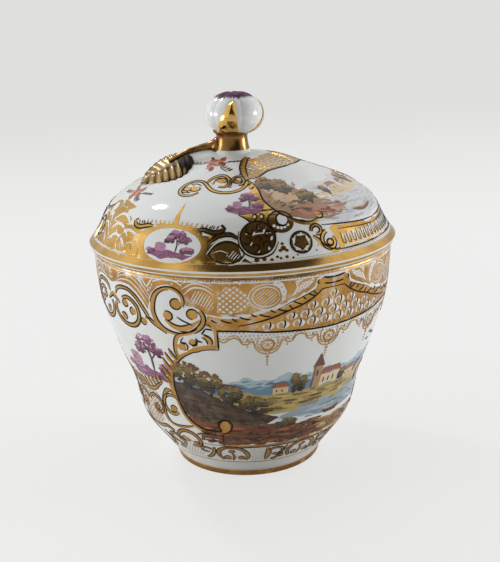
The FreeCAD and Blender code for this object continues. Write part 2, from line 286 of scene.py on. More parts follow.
def smooth_line(guides, steps):
    """Points along the cubic curve that leans towards its guide points and ends at the end ones."""
    last = len(guides) - 1
    knots = [0] * 3 + list(range(last - 1)) + [last - 2] * 3

    def blend(number, degree, at):
        if degree == 0:
            low, high = knots[number:number + 2]
            return 1 if low <= at < high or (at >= last - 2 and low < at <= high) else 0
        total = 0
        for low, sign in ((number, 1), (number + 1, -1)):
            span = knots[low + degree] - knots[low]
            if span > 0:
                share = (at - knots[low]) / span
                total += (share if sign > 0 else 1 - share) * blend(low, degree - 1, at)
        return total

    line = []
    for step in range(steps + 1):
        at = (last - 2) * step / steps
        weights = [blend(number, 3, at) for number in range(last + 1)]
        line.append(tuple(sum(w * guide[axis] for w, guide in zip(weights, guides))
                          for axis in (0, 1)))
    return line


def quarter_round(middle, radius, start, end, steps=6):
    """Points of a rounded edge, from one angle in degrees to another."""
    points = []
    for step in range(steps + 1):
        angle = math.radians(start + (end - start) * step / steps)
        points.append((middle[0] + radius * math.cos(angle), middle[1] + radius * math.sin(angle)))
    return points


def turned_piece(name, outline, made):
    """A closed surface, turned once round the upright axis. The outline is closed on itself or
    starts and ends on the axis."""
    vertices = []
    rings = []
    for radius, height in outline:
        if radius < ON_AXIS:
            rings.append([len(vertices)] * ROUND_STEPS)
            vertices.append((0, 0, height * MM))
            continue
        rings.append(list(range(len(vertices), len(vertices) + ROUND_STEPS)))
        for step in range(ROUND_STEPS):
            angle = 2 * math.pi * step / ROUND_STEPS
            vertices.append((
                radius * MM * math.sin(angle), -radius * MM * math.cos(angle), height * MM))
    faces = []
    pairs = list(zip(rings, rings[1:]))
    if outline[0][0] > ON_AXIS:
        pairs.append((rings[-1], rings[0]))
    for lower, upper in pairs:
        for step in range(ROUND_STEPS):
            after = (step + 1) % ROUND_STEPS
            corners = dict.fromkeys((lower[step], lower[after], upper[after], upper[step]))
            faces.append(tuple(corners))
    piece = mesh_piece(name, vertices, faces, made)
    piece.data.set_sharp_from_angle(angle=math.radians(40))
    return piece


def glaze():
    """Clear glaze on white porcelain: cool white, glossy, with a faint unevenness and a few
    slightly greyer clouds."""
    made, tree, shader, noise = new_material("porcelain_glaze", Roughness=0.07, IOR=1.52)
    clouds = noise(22, 4).smooth(0.35, 0.7)
    Value.feed(shader.inputs["Base Color"],
               clouds.mixed((0.80, 0.815, 0.80, 1), (0.765, 0.785, 0.775, 1)))
    Value.feed(shader.inputs["Normal"], bump(tree, noise(55, 2), 0.00012))
    return made


porcelain = glaze()
LIP_MIDDLE = (LIP_RADIUS - LIP_ROUND, CUP_HEIGHT - LIP_ROUND)
cup_outline = (
    [(FOOT_RADIUS - FOOT_WIDTH, 0), (FOOT_RADIUS - FOOT_EDGE, 0)]
    + quarter_round((FOOT_RADIUS - FOOT_EDGE, FOOT_EDGE), FOOT_EDGE, -90, 10)
    + smooth_line(CUP_OUTSIDE, WALL_STEPS)
    + quarter_round(LIP_MIDDLE, LIP_ROUND, 0, 90)
    + quarter_round((LIP_RADIUS - CUP_WALL + LIP_ROUND, CUP_HEIGHT - LIP_ROUND), LIP_ROUND, 90, 180)
    + smooth_line(CUP_INSIDE, INSIDE_STEPS)
)
foot_hollow = [
    (0, FOOT_HOLLOW), (FOOT_RADIUS - 2.7, FOOT_HOLLOW), (FOOT_RADIUS - 2.7, FOOT_EDGE)]
cup_body = turned_piece("cup_body", foot_hollow + cup_outline, porcelain)
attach(cup_body, "root")
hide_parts("cup")


# The lid: a domed shell with a thin edge that passes the lip, and a ring that hangs inside the
# mouth. The same porcelain and glaze as the cup.
RING_RADIUS = 37.6
RING_BOTTOM = 57.5
TWIG_BED = 1.7
TWIG_BED_WIDTH = 2.4
LID_OUTSIDE = [
    (42, 64.2), (38.8, 67.5), (38, 72.7), (31.7, 77.8), (25, 80.3), (17.6, 82.9), (10, 86.4),
    (0, 86.9)]
LID_INSIDE = [
    (0, 84.4), (10, 83.9), (17.6, 80.4), (25, 77.8), (31.7, 75.3), (35.4, 70.2), (35.4, 65),
    (35.4, 57.5)]

lid_outline = (
    smooth_line(LID_OUTSIDE[::-1], WALL_STEPS)
    + [(41.95, 63.9), (41.8, 63.55), (41.5, 62.85), (41.32, 62.6), (41, CUP_HEIGHT),
       (RING_RADIUS, CUP_HEIGHT), (RING_RADIUS, RING_BOTTOM)]
    + smooth_line(LID_INSIDE[::-1], INSIDE_STEPS)
)
lid_dome = turned_piece("lid_dome", lid_outline, porcelain)


def raise_twig_bed():
    """Lift the dome's outside into the low ridge that the twig lies on."""
    for vertex in lid_dome.data.vertices[:1 + WALL_STEPS * ROUND_STEPS]:
        place, side = vertex.co.x / MM, vertex.co.y / MM
        run = min(1, max(0, (-2.5 - place) / 3)) * min(1, max(0, (place + 19) / 5))
        vertex.co.z += TWIG_BED * run * math.exp(-(side / TWIG_BED_WIDTH) ** 2) * MM


raise_twig_bed()
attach(lid_dome, "root")
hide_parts("lid")


# The bud that serves as the lid's knob: a flattened ball of six porcelain petals, pressed
# together with soft creases between them. Their tips are brushed with puce enamel.
BUD_MIDDLE = (-1.4, 96.9)
BUD_RADIUS = 7.8
BUD_HALF_HEIGHT = 6
PETALS = 6
SEPAL_ANGLE = -13
PUCE_REACH = 5.5


def bud_point(angle, tilt, out):
    """A point in metres so far out from the bud, at an angle round it and a tilt above it."""
    turn, rise = math.radians(angle), math.radians(tilt)
    crease = abs(math.cos(math.radians(angle - SEPAL_ANGLE) * PETALS / 2))
    depth = (0.30 + 0.45 * max(0, math.sin(rise)) ** 2) * (1 - crease ** 0.6)
    across = (BUD_RADIUS - depth + out) * math.cos(rise)
    dimple = 0.55 * math.exp(-(across / 1.7) ** 2)
    up = (BUD_HALF_HEIGHT - 0.4 * depth + out) * math.sin(rise) - (dimple if tilt > 0 else 0)
    return ((BUD_MIDDLE[0] + across * math.sin(turn)) * MM, -across * math.cos(turn) * MM,
            (BUD_MIDDLE[1] + up) * MM)


def petal_glaze():
    """The porcelain's glaze, with puce strokes that run out from the tips of the petals."""
    made, tree, shader, noise = new_material("petal_glaze", Roughness=0.12, IOR=1.52)
    across, back, up = Value.axes(tree, "Object")
    across = across - BUD_MIDDLE[0] * MM
    reach = (across * across + back * back).sum("SQRT") * (1 / MM)
    around = back.sum("ARCTAN2", across)
    hairs = Value.node(tree, "ShaderNodeTexNoise", {"noise_dimensions": "1D"},
                       {"W": around, "Scale": 14, "Detail": 3, "Roughness": 0.7})
    edge = (hairs - 0.5) * 2.8 + PUCE_REACH
    above = (up * (1 / MM)).smooth(BUD_MIDDLE[1] + 1, BUD_MIDDLE[1] + 2)
    puce = (edge - reach).smooth(0, 0.8) * above
    dark = (noise(700, 3) + (hairs - 0.5) * 0.9).smooth(0.38, 0.62)
    tips = dark.mixed((0.15, 0.03, 0.11, 1), (0.03, 0.004, 0.02, 1))
    clouds = noise(60, 4).smooth(0.35, 0.7)
    Value.feed(shader.inputs["Base Color"],
               clouds.mixed((0.80, 0.815, 0.80, 1), (0.76, 0.78, 0.775, 1)))
    Value.feed(shader.inputs["Normal"], bump(tree, noise(160, 2), 0.0001))
    enamel = tree.nodes.new("ShaderNodeBsdfPrincipled")
    enamel.inputs["Roughness"].default_value = 0.4
    enamel.inputs["Specular IOR Level"].default_value = 0.12
    Value.feed(enamel.inputs["Base Color"], tips)
    both = Value.node(tree, "ShaderNodeMixShader", None,
                      {0: puce, 1: Value(shader.outputs[0]), 2: Value(enamel.outputs[0])})
    Value.feed(tree.nodes["Material Output"].inputs["Surface"], both)
    return made


def petal_ball():
    """The ball of petals, closed above and below."""
    around, rings = 192, 60
    vertices = [bud_point(0, -90, 0)]
    for ring in range(1, rings):
        tilt = -90 + 180 * ring / rings
        vertices.extend(bud_point(360 * step / around, tilt, 0) for step in range(around))
    vertices.append(bud_point(0, 90, 0))
    last = len(vertices) - 1
    faces = []
    for step in range(around):
        after = (step + 1) % around
        faces.append((0, 1 + after, 1 + step))
        for ring in range(rings - 2):
            low, high = 1 + ring * around, 1 + (ring + 1) * around
            faces.append((low + step, low + after, high + after, high + step))
        faces.append((last, last - around + step, last - around + after))
    return mesh_piece("bud_petals", vertices, faces, petal_glaze())


petals = petal_ball()
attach(petals, "root")


# The gilt sepals: three keeled leaves that clasp the bud from below and end in points. They are
# modelled in the porcelain and covered with fired gold, burnished bright.
SEPALS = 3
SEPAL_WIDTHS = [(0, 3.3), (0.3, 2.8), (0.6, 2.05), (0.85, 1.1), (1, 0.05)]
SEPAL_TILTS = (-60, 42)
SEPAL_KEEL = 0.85


def between(pairs, at):
    """The value at a place in a list of places and values, in straight runs."""
    for (low, first), (high, second) in zip(pairs, pairs[1:]):
        if at <= high:
            return first + (second - first) * (at - low) / (high - low)
    return pairs[-1][1]


def gilding(name, bright, deep, roughness, grain, depth):
    """Fired gold: burnished, a little uneven in colour and shine, with fine tool marks."""
    made, tree, shader, noise = new_material(name, Metallic=1)
    patches = noise(grain * 0.12, 3).smooth(0.3, 0.7)
    Value.feed(shader.inputs["Base Color"], patches.mixed((*bright, 1), (*deep, 1)))
    Value.feed(shader.inputs["Roughness"], noise(grain * 0.3, 2) * 0.10 + roughness)
    Value.feed(shader.inputs["Normal"], bump(tree, noise(grain, 4, 0.65), depth))
    return made


def closed_sheet(top, bottom):
    """Vertices and faces of a plate between two grids of points of the same size."""
    rows, columns = len(top), len(top[0])
    vertices = [point for grid in (top, bottom) for row in grid for point in row]
    low = rows * columns
    faces = []
    for row in range(rows - 1):
        for column in range(columns - 1):
            corner = row * columns + column
            quad = (corner, corner + 1, corner + columns + 1, corner + columns)
            faces.append(quad)
            faces.append(tuple(low + index for index in quad[::-1]))
    rim = (list(range(columns))
           + [row * columns + columns - 1 for row in range(1, rows)]
           + [(rows - 1) * columns + column for column in range(columns - 2, -1, -1)]
           + [row * columns for row in range(rows - 2, 0, -1)])
    for first, second in zip(rim, rim[1:] + rim[:1]):
        faces.append((second, first, low + first, low + second))
    return vertices, faces


knob_gold = gilding("knob_gold", (0.80, 0.52, 0.17), (0.58, 0.34, 0.09), 0.05, 900, 0.00003)


def sepal_ring():
    """The three sepals in one mesh."""
    vertices, faces = [], []
    rows, columns = 40, 15
    for sepal in range(SEPALS):
        grids = ([], [])
        for row in range(rows + 1):
            share = row / rows
            tilt = SEPAL_TILTS[0] + (SEPAL_TILTS[1] - SEPAL_TILTS[0]) * share
            middle = SEPAL_ANGLE - 9 + 22 * share + 360 * sepal / SEPALS
            girth = BUD_RADIUS * math.cos(math.radians(tilt)) * math.pi / 180
            for grid in grids:
                grid.append([])
            for column in range(columns):
                side = 2 * column / (columns - 1) - 1
                angle = middle + side * between(SEPAL_WIDTHS, share) / girth
                keel = SEPAL_KEEL * (1 - abs(side)) ** 0.9 * min(1, 3 * (1 - share) + 0.25)
                out = 0.12 + keel * min(1, 0.35 + 2.5 * share)
                grids[0][-1].append(bud_point(angle, tilt, out))
                grids[1][-1].append(bud_point(angle, tilt, -0.7))
        made, added = closed_sheet(*grids)
        faces.extend(tuple(len(vertices) + index for index in face) for face in added)
        vertices.extend(made)
    piece = mesh_piece("bud_sepals", vertices, faces, knob_gold)
    piece.data.set_sharp_from_angle(angle=math.radians(32))
    return piece


sepals = sepal_ring()
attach(sepals, "root")


# The stalk and the twig: a short waisted neck under the bud, which spreads into a bent twig that
# lies down on the dome. Porcelain, luted on; the gilding stops at a white foot where it spreads.
STALK_PLACE = -2.1
STALK_FOOT = [(0, 83.6), (6.6, 83.6), (6.2, 85.4), (5.2, 86.5), (4.65, 87.4), (4.45, 88), (0, 88)]
STALK_PROFILE = [
    (0, 87.2), (4.5, 87.2), (4.72, 87.5), (4.45, 88.6), (4.28, 89.8), (4.24, 90.8), (4.4, 91.5),
    (5, 92.1), (4.9, 93.6), (0, 93.9)]
TWIG_RUN = [
    (-1, 3.2, 1.9), (-4.6, 2.9, 1.7), (-6.6, 2.45, 1.75), (-7.8, 1.75, 1.95), (-9.3, 1.25, 2.1),
    (-11.6, 0.95, 2.25), (-14.4, 0.8, 2.35), (-17, 0.65, 2.25), (-19.5, 0.4, 2)]
# The stalk and twig take a much darker copy of the knob's gold: painted shade and painted dark
# reflection under the bud, not a different gold.
stalk_shaded_gold = gilding("stalk_shaded_gold", (0.30, 0.165, 0.052), (0.14, 0.066, 0.021), 0.16, 900, 0.00003)
lid_line = smooth_line(LID_OUTSIDE, SKIN_STEPS)


def dome_height(radius):
    """Height of the dome's outside at a distance from the axis, in millimetres."""
    return between(lid_line[::-1], radius)


def spun_line(points, count):
    """A curve through all its points. count gives the steps from one point to the next."""
    path = []
    padded = [points[0]] + list(points) + [points[-1]]
    for run in zip(padded, padded[1:], padded[2:], padded[3:]):
        steps = count(run[1], run[2])
        for step in range(steps):
            t = step / steps
            path.append(tuple(
                0.5 * (2 * b + (c - a) * t + (2 * a - 5 * b + 4 * c - d) * t * t
                       + (3 * b - a - 3 * c + d) * t ** 3) for a, b, c, d in zip(*run)))
    return path + [tuple(points[-1])]


for name, profile, made in (
        ("stalk_foot", STALK_FOOT, porcelain), ("bud_stalk", STALK_PROFILE, stalk_shaded_gold)):
    curve = spun_line(profile[2:-1], lambda first, second: 6)
    stalk = turned_piece(name, profile[:2] + curve + profile[-1:], made)
    for vertex in stalk.data.vertices:
        vertex.co.x += STALK_PLACE * MM
    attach(stalk, "root")


def twig_tube():
    """The twig: round, thinner along its run, with a few knots, closed at both ends."""
    around = 28
    vertices, faces = [], []
    run = spun_line(TWIG_RUN, lambda first, second: 9)
    for number, (place, radius, lift) in enumerate(run):
        before, after = run[max(number - 1, 0)], run[min(number + 1, len(run) - 1)]
        heights = [dome_height(abs(point[0])) + point[2] for point in (before, after)]
        lean = math.atan2(heights[1] - heights[0], abs(after[0] - before[0]))
        height = dome_height(abs(place)) + lift
        bark = 1 + 0.03 * math.sin(place * 1.7)
        for step in range(around):
            turn = 2 * math.pi * step / around
            up = radius * bark * math.cos(turn)
            vertices.append((
                (place + up * math.sin(lean)) * MM, radius * bark * math.sin(turn) * MM,
                (height + up * math.cos(lean)) * MM))
    for ring in range(len(run) - 1):
        for step in range(around):
            after = (step + 1) % around
            low, high = ring * around, (ring + 1) * around
            faces.append((low + step, high + step, high + after, low + after))
    faces.append(tuple(range(around)))
    faces.append(tuple(range(len(vertices) - 1, len(vertices) - 1 - around, -1)))
    return mesh_piece("leaf_twig", vertices, faces, stalk_shaded_gold)


twig = twig_tube()
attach(twig, "root")


# The leaf at the twig's end: broad, toothed and ribbed, its front half rolled down to the dome.
# Moulded in porcelain, luted on with the twig and gilt; its gold is darkened with painted shade at
# its base end, between its ribs and along its edges.
LEAF_START = -13.3
LEAF_LENGTH = 15
LEAF_TURN = math.radians(25)
LEAF_FRONT = 11.6
LEAF_REAR = 6.4
LEAF_TEETH = 9


def leaf_point(along, across, lift):
    """A point of the leaf in metres: along its rib and across it in millimetres, above the dome."""
    place = LEAF_START - along * math.cos(LEAF_TURN) + across * math.sin(LEAF_TURN)
    depth = -along * math.sin(LEAF_TURN) - across * math.cos(LEAF_TURN)
    height = dome_height(math.hypot(place, depth)) + lift
    return (place * MM, depth * MM, height * MM)


def leaf_rib(share, side):
    """1 on the crest of a rib and -1 between two; the ribs lean towards the tip."""
    return math.cos(2 * math.pi * (share * LEAF_TEETH - 0.9 * abs(side)))


def leaf_section(along, side):
    """Across and lift of the leaf's upper face, from its rear edge at -1 to its front foot at 1.
    The front half swells and rolls down to the dome; the rear half is curled up a little."""
    share = min(1, max(0, along))
    full = math.sin(math.pi * share ** 0.8) ** 0.75
    saw = abs(2 * ((share * LEAF_TEETH) % 1) - 1)
    ribs = leaf_rib(share, side)
    rib = -0.3 * math.exp(-(side / 0.08) ** 2)
    base = 0.8 + 0.5 * (1 - share)
    far = abs(side)
    if side < 0:
        across = -(LEAF_REAR * full - 0.4 * saw * far) * far
        return across, base + full * (2.3 * far ** 1.4 + 0.18 * ribs * far + rib)
    across = (LEAF_FRONT * full - 0.8 * saw * far) * far
    swell = 1.6 * math.sin(math.pi * far ** 0.85) + 0.34 * ribs * far ** 0.7
    return across, base * (1 - far ** 3) + full * (swell + rib) - 0.5 * far ** 3


def leaf_plate():
    """The leaf, solid down to the dome. Its front edge curls over and falls steeply."""
    rows, columns = 90, 45
    top, bottom = [], []
    for row in range(rows + 1):
        share = 0.01 + 0.98 * row / rows
        top.append([])
        bottom.append([])
        for column in range(columns):
            side = 2 * column / (columns - 1) - 1
            across, lift = leaf_section(share, side)
            along = LEAF_LENGTH * share + 1.3 * side * math.sin(math.pi * share)
            ease = min(1, 0.5 + 5 * share) * min(1, 0.35 + 5 * (1 - share))
            top[-1].append(leaf_point(along, across, lift * ease))
            bottom[-1].append(leaf_point(along, across * 0.97, -0.45))
    vertices, faces = closed_sheet(top, bottom)
    piece = mesh_piece("lid_leaf", vertices, faces, leaf_gold)
    piece.data.set_sharp_from_angle(angle=math.radians(50))
    # The shade attribute is painted shade: the shadow under the curled base end, the dark valleys
    # between the ribs and the edges that turn under.
    shade = piece.data.color_attributes.new("shade", "FLOAT_COLOR", "POINT")
    tones = []
    for number in range(len(vertices)):
        side = 2 * (number % columns) / (columns - 1) - 1
        along = number // columns % (rows + 1) / rows
        base_end_shadow = min(1, max(0, (0.50 - along - 0.14 * side) / 0.14))
        base_end_shadow *= min(1, max(0, (side + 0.3) / 0.3))
        rib_valley_shade = max(0, side) ** 0.5 * (0.5 - 0.5 * leaf_rib(along, side)) ** 1.5
        # The outermost edges are darkened too, as painted shade where they turn under.
        rim = max(0, (abs(side) - 0.9) / 0.1)
        dark = min(1, base_end_shadow + rib_valley_shade + 0.9 * rim)
        tones.extend((dark, dark, dark, 1))
    shade.data.foreach_set("color", tones)
    return piece


def leaf_finish():
    """Fired gold, made brown and nearly black by painted shade where the leaf's edge turns under,
    between its ribs and at its base end.
    """
    made, tree, shader, noise = new_material("leaf_gold", Specular_IOR_Level=0.06)
    painted_shade = Value.node(tree, "ShaderNodeAttribute", {"attribute_name": "shade"}, None, "Fac")
    patches = noise(260, 4)
    # Random dull patches plus the painted shade; the painted shade also makes the gold less
    # metallic and rougher.
    dull_and_shade = (patches.smooth(0.45, 0.68) * 0.5 + painted_shade * 0.97).sum("MINIMUM", 1)
    gold = noise(140, 3).smooth(0.3, 0.7).mixed((0.50, 0.33, 0.14, 1), (0.20, 0.14, 0.08, 1))
    Value.feed(shader.inputs["Base Color"], dull_and_shade.mixed(gold, (0.016, 0.009, 0.005, 1)))
    Value.feed(shader.inputs["Metallic"], 1 - painted_shade * 0.9)
    Value.feed(shader.inputs["Roughness"], noise(300, 2) * 0.2 + dull_and_shade * 0.22 + 0.12)
    Value.feed(shader.inputs["Normal"], bump(tree, noise(700, 4, 0.65), 0.00008))
    return made


leaf_gold = leaf_finish()
leaf = leaf_plate()
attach(leaf, "root")


# The gilding of the cup: fired gold laid on the glaze with a brush, in bands, scrolls and balls,
# and edged with a fine pen in near-black. It stands a few hundredths of a millimetre proud.
# Places on the wall are written as degrees from the front towards the right, then millimetres
# along the wall from the bottom edge; a third number is the width of the stroke there, and a
# drop's third number its radius. DEGREE is about how many millimetres a degree spans.
SUNK = -0.02
GROUND_LIFT = 0.02
RESERVE_LIFT = 0.036
GOLD_LIFT = 0.052
LINE_LIFT = 0.072
OVER_PAINT = 0.1
CUP_AXIS = 33
FRAME_START = 4.6
FAR_SQUEEZE = 0.64
DEGREE = 0.65
GRAIN = 1.3
RING_STEP = 0.3
HATCH_STEP = 1.2
ROW_SHARE = 0.87
SHOULDER = 0.86
OVAL_CORNERS = 28
BALL_LINE = 1.04
BALL_SQUASH = 0.9
CUP_PEN = 0.45
BORDER_PEN = 0.31
LEFT_EDGE = ((1, 0, 1),)
RIGHT_EDGE = ((-1, 0, 1),)
BOTH_EDGES = LEFT_EDGE + RIGHT_EDGE
BARE = ()
DOT_GAP = 0.95
DOT = 0.2
LIP_TICKS = 300
LACE_STEP = 24.6
LACE_DROP = 48.7


class Skin:
    """The outside of a turned piece, laid flat: an angle, and a length along the wall."""

    def __init__(self, line):
        self.line = line
        self.along = [0]
        for first, second in zip(line, line[1:]):
            self.along.append(self.along[-1] + math.dist(first, second))

    def wall(self, along):
        """Radius, height and outward direction of the wall at a length along it."""
        along = min(max(along, 0), self.along[-1] - 1e-6)
        low = min(bisect.bisect_right(self.along, along), len(self.along) - 1) - 1
        first, second = self.line[low], self.line[low + 1]
        share = (along - self.along[low]) / (self.along[low + 1] - self.along[low])
        step = (second[0] - first[0], second[1] - first[1])
        length = math.hypot(*step)
        outward = (step[1] / length, -step[0] / length)
        return first[0] + step[0] * share, first[1] + step[1] * share, outward

    def place(self, angle, along, lift):
        """The point in metres that lies so many millimetres above the glaze."""
        radius, height, outward = self.wall(along)
        radius += outward[0] * lift
        turn = math.radians(angle)
        return (radius * MM * math.sin(turn), -radius * MM * math.cos(turn),
                (height + outward[1] * lift) * MM)

    def per_degree(self, along):
        """Millimetres across for one degree round the piece."""
        return max(self.wall(along)[0], 0.5) * math.pi / 180


def through(points, step=0.5):
    """A smooth path through its points, in steps of about so many millimetres."""
    return spun_line(points, lambda first, second: max(1, round(
        math.hypot((second[0] - first[0]) * DEGREE, second[1] - first[1]) / step)))


def crossings(flat, height):
    """Where a level line enters and leaves a closed flat outline, in order."""
    marks = []
    for first, second in zip(flat, flat[1:] + flat[:1]):
        if (first[1] <= height) != (second[1] <= height):
            share = (height - first[1]) / (second[1] - first[1])
            marks.append(first[0] + (second[0] - first[0]) * share)
    marks.sort()
    return list(zip(marks[::2], marks[1::2]))


class Layer:
    """Strokes and fields of one finish on one skin, gathered into one mesh."""

    def __init__(self, skin, lift):
        self.skin = skin
        self.lift = lift
        self.vertices = []
        self.faces = []
        self.colours = []

    def stroke(self, path, width=0, taper=(1, 1), shift=0, crown=0.012, colour=None):
        """A brush stroke along a path: its width, the share of it left at either end, how far it
        is shifted to the left in half widths of the path's own, and how far its middle rises."""
        start = len(self.vertices)
        last = len(path) - 1
        section = ((-1, 0), (-SHOULDER, 1), (SHOULDER, 1), (1, 0))
        for number, point in enumerate(path):
            before, after = path[max(number - 1, 0)], path[min(number + 1, last)]
            scale = self.skin.per_degree(point[1])
            across, up = (after[0] - before[0]) * scale, after[1] - before[1]
            length = math.hypot(across, up) or 1
            left = (-up / length, across / length)
            share = number / last
            ends = min(1, taper[0] + (1 - taper[0]) * share * 4,
                       taper[1] + (1 - taper[1]) * (1 - share) * 4)
            half = (width or point[2]) / 2 * ends
            aside = shift * point[2] / 2 if shift else 0
            for column, risen in section:
                offset = aside + column * half
                lift = self.lift + crown if risen else SUNK
                self.vertices.append(self.skin.place(
                    point[0] + left[0] * offset / scale, point[1] + left[1] * offset, lift))
        count = len(section)
        for row in range(last):
            for column in range(count - 1):
                corner = start + row * count + column
                self.faces.append((corner, corner + 1, corner + count + 1, corner + count))
                self.colours.append(colour)

    def disc(self, angle, along, radius, squash=1, lean=0, corners=14, colour=None, rise=0.02):
        """A low round drop, which may be oval and leaning."""
        scale = self.skin.per_degree(along)
        middle = len(self.vertices)
        self.vertices.append(self.skin.place(angle, along, self.lift + rise))
        lean = math.radians(lean)
        for share, lift in ((0.9, self.lift + rise * 0.5), (1, SUNK)):
            for corner in range(corners):
                turn = 2 * math.pi * corner / corners
                across = share * radius * math.cos(turn)
                up = share * radius * squash * math.sin(turn)
                self.vertices.append(self.skin.place(
                    angle + (across * math.cos(lean) - up * math.sin(lean)) / scale,
                    along + (across * math.sin(lean) + up * math.cos(lean)), lift))
        for corner in range(corners):
            here, there = middle + 1 + corner, middle + 1 + (corner + 1) % corners
            self.faces.append((middle, here, there))
            self.faces.append((here, here + corners, there + corners, there))
            self.colours.extend((colour, colour))

    def field(self, outline, colour=None):
        """A flat field inside a closed outline, bent with the wall."""
        scale = self.skin.per_degree(sum(point[1] for point in outline) / len(outline))
        flat = [Vector((point[0] * scale, point[1])) for point in outline]
        low = [min(point[k] for point in flat) for k in (0, 1)]
        high = [max(point[k] for point in flat) for k in (0, 1)]
        inner = []
        for row in range(int((high[1] - low[1]) / GRAIN) + 1):
            for column in range(int((high[0] - low[0]) / GRAIN) + 1):
                inner.append(Vector((low[0] + (column + 0.5 * (row % 2)) * GRAIN,
                                     low[1] + (row + 0.5) * GRAIN)))
        edges = [(number, (number + 1) % len(flat)) for number in range(len(flat))]
        points, _, faces, *_ = delaunay_2d_cdt(flat + inner, edges, [], 1, 1e-5)
        used = sorted({corner for face in faces for corner in face})
        place = {corner: len(self.vertices) + number for number, corner in enumerate(used)}
        self.vertices.extend(self.skin.place(points[corner].x / scale, points[corner].y, self.lift)
                             for corner in used)
        for face in faces:
            self.faces.append(tuple(place[corner] for corner in face))
            self.colours.append(colour)

    def ring(self, low, high):
        """A band right round the piece between two lengths along the wall."""
        rows = max(2, round((high - low) / RING_STEP))
        start = len(self.vertices)
        for row in range(rows + 1):
            lift = self.lift if 0 < row < rows else SUNK
            along = low + (high - low) * row / rows
            self.vertices.extend(self.skin.place(360 * step / ROUND_STEPS, along, lift)
                                 for step in range(ROUND_STEPS))
        for row in range(rows):
            for step in range(ROUND_STEPS):
                here, there = start + row * ROUND_STEPS, (step + 1) % ROUND_STEPS
                upper = here + ROUND_STEPS
                self.faces.append((here + step, here + there, upper + there, upper + step))
                self.colours.append(None)

    def hatch(self, outline, lean, gap, width, taper=(0.6, 0.6)):
        """Even strokes side by side inside a closed outline, at a lean in degrees."""
        scale = self.skin.per_degree(sum(point[1] for point in outline) / len(outline))
        cos, sin = math.cos(math.radians(lean)), math.sin(math.radians(lean))
        flat = [(a * scale * cos + s * sin, s * cos - a * scale * sin) for a, s in outline]
        level = min(point[1] for point in flat) + gap / 2
        while level < max(point[1] for point in flat):
            for start, end in crossings(flat, level):
                if end - start > 2 * width:
                    steps = max(1, round((end - start) / HATCH_STEP))
                    run = [start + (end - start) * step / steps for step in range(steps + 1)]
                    self.stroke([((x * cos - level * sin) / scale, x * sin + level * cos)
                                 for x in run], width, taper, crown=0.01)
            level += gap

    def dots(self, outline, gap, radius):
        """Staggered rows of dots inside a closed outline."""
        scale = self.skin.per_degree(sum(point[1] for point in outline) / len(outline))
        flat = [(a * scale, s) for a, s in outline]
        level = min(point[1] for point in flat) + gap / 2
        row = 0
        while level < max(point[1] for point in flat):
            for start, end in crossings(flat, level):
                column = math.ceil((start + radius) / gap - 0.5 * (row % 2)) + 0.5 * (row % 2)
                while column * gap < end - radius:
                    self.disc(column * gap / scale, level, radius, corners=7, rise=0.01)
                    column += 1
            level += gap * ROW_SHARE
            row += 1

    def piece(self, name, made, slot):
        """Make the mesh, every face turned outwards, and say what it rides on."""
        for number, face in enumerate(self.faces):
            first, second, third = (Vector(self.vertices[face[corner]]) for corner in (0, 1, -1))
            if (second - first).cross(third - first).dot(Vector((first.x, first.y, 0.01))) < 0:
                self.faces[number] = face[::-1]
        made_piece = mesh_piece(name, self.vertices, self.faces, made)
        made_piece.data.set_sharp_from_angle(angle=math.radians(25))
        if self.colours[0]:
            paint = made_piece.data.color_attributes.new("paint", "FLOAT_COLOR", "CORNER")
            values = []
            for polygon, colour in zip(made_piece.data.polygons, self.colours):
                values.extend((*colour, 1) * polygon.loop_total)
            paint.data.foreach_set("color", values)
        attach(made_piece, "root")


def enamel_line(name, colour):
    """Near-black enamel, drawn with a fine pen and fired on, thinner in places."""
    made, tree, shader, noise = new_material(name, Roughness=0.4, Specular_IOR_Level=0.1)
    thin = noise(900).smooth(0.35, 0.75)
    pale = [3 * part for part in colour]
    Value.feed(shader.inputs["Base Color"], thin.mixed((*colour, 1), (*pale, 1)))
    return made


def worn_gilding():
    """The thinner gold of the grounds, brushed on in streaks and rubbed, so that the glaze shows
    through in places."""
    made, tree, shader, noise = new_material("worn_gold")
    rubbed = noise(260, 5, 0.7).smooth(0.52, 0.72) + noise(1500, 3).smooth(0.60, 0.78)
    rubbed = rubbed.sum("MINIMUM", 1)
    gold = noise(150, 3).smooth(0.3, 0.7).mixed((0.60, 0.33, 0.085, 1), (0.40, 0.20, 0.05, 1))
    Value.feed(shader.inputs["Base Color"], (rubbed * 0.55).mixed(gold, (0.74, 0.72, 0.66, 1)))
    Value.feed(shader.inputs["Metallic"], 1 - rubbed * 0.6)
    Value.feed(shader.inputs["Roughness"], noise(400, 2) * 0.16 + 0.22)
    Value.feed(shader.inputs["Normal"], bump(tree, noise(1400, 4, 0.65), 0.00002))
    return made


worn_gold = worn_gilding()
bright_gold = gilding("bright_gold", (0.62, 0.355, 0.115), (0.46, 0.24, 0.065), 0.28, 1400, 0.00002)
fine_line = enamel_line("fine_line", (0.010, 0.005, 0.002))
cup_skin = Skin([(FOOT_RADIUS, 0)] + smooth_line(CUP_OUTSIDE, SKIN_STEPS)
                + quarter_round(LIP_MIDDLE, LIP_ROUND, 0, 90, 12)[1:])


def around(angle, along, reach, turn, scale):
    """The place at a reach in millimetres from a middle; scale is millimetres a degree."""
    return angle + reach * math.cos(turn) / scale, along + reach * math.sin(turn)


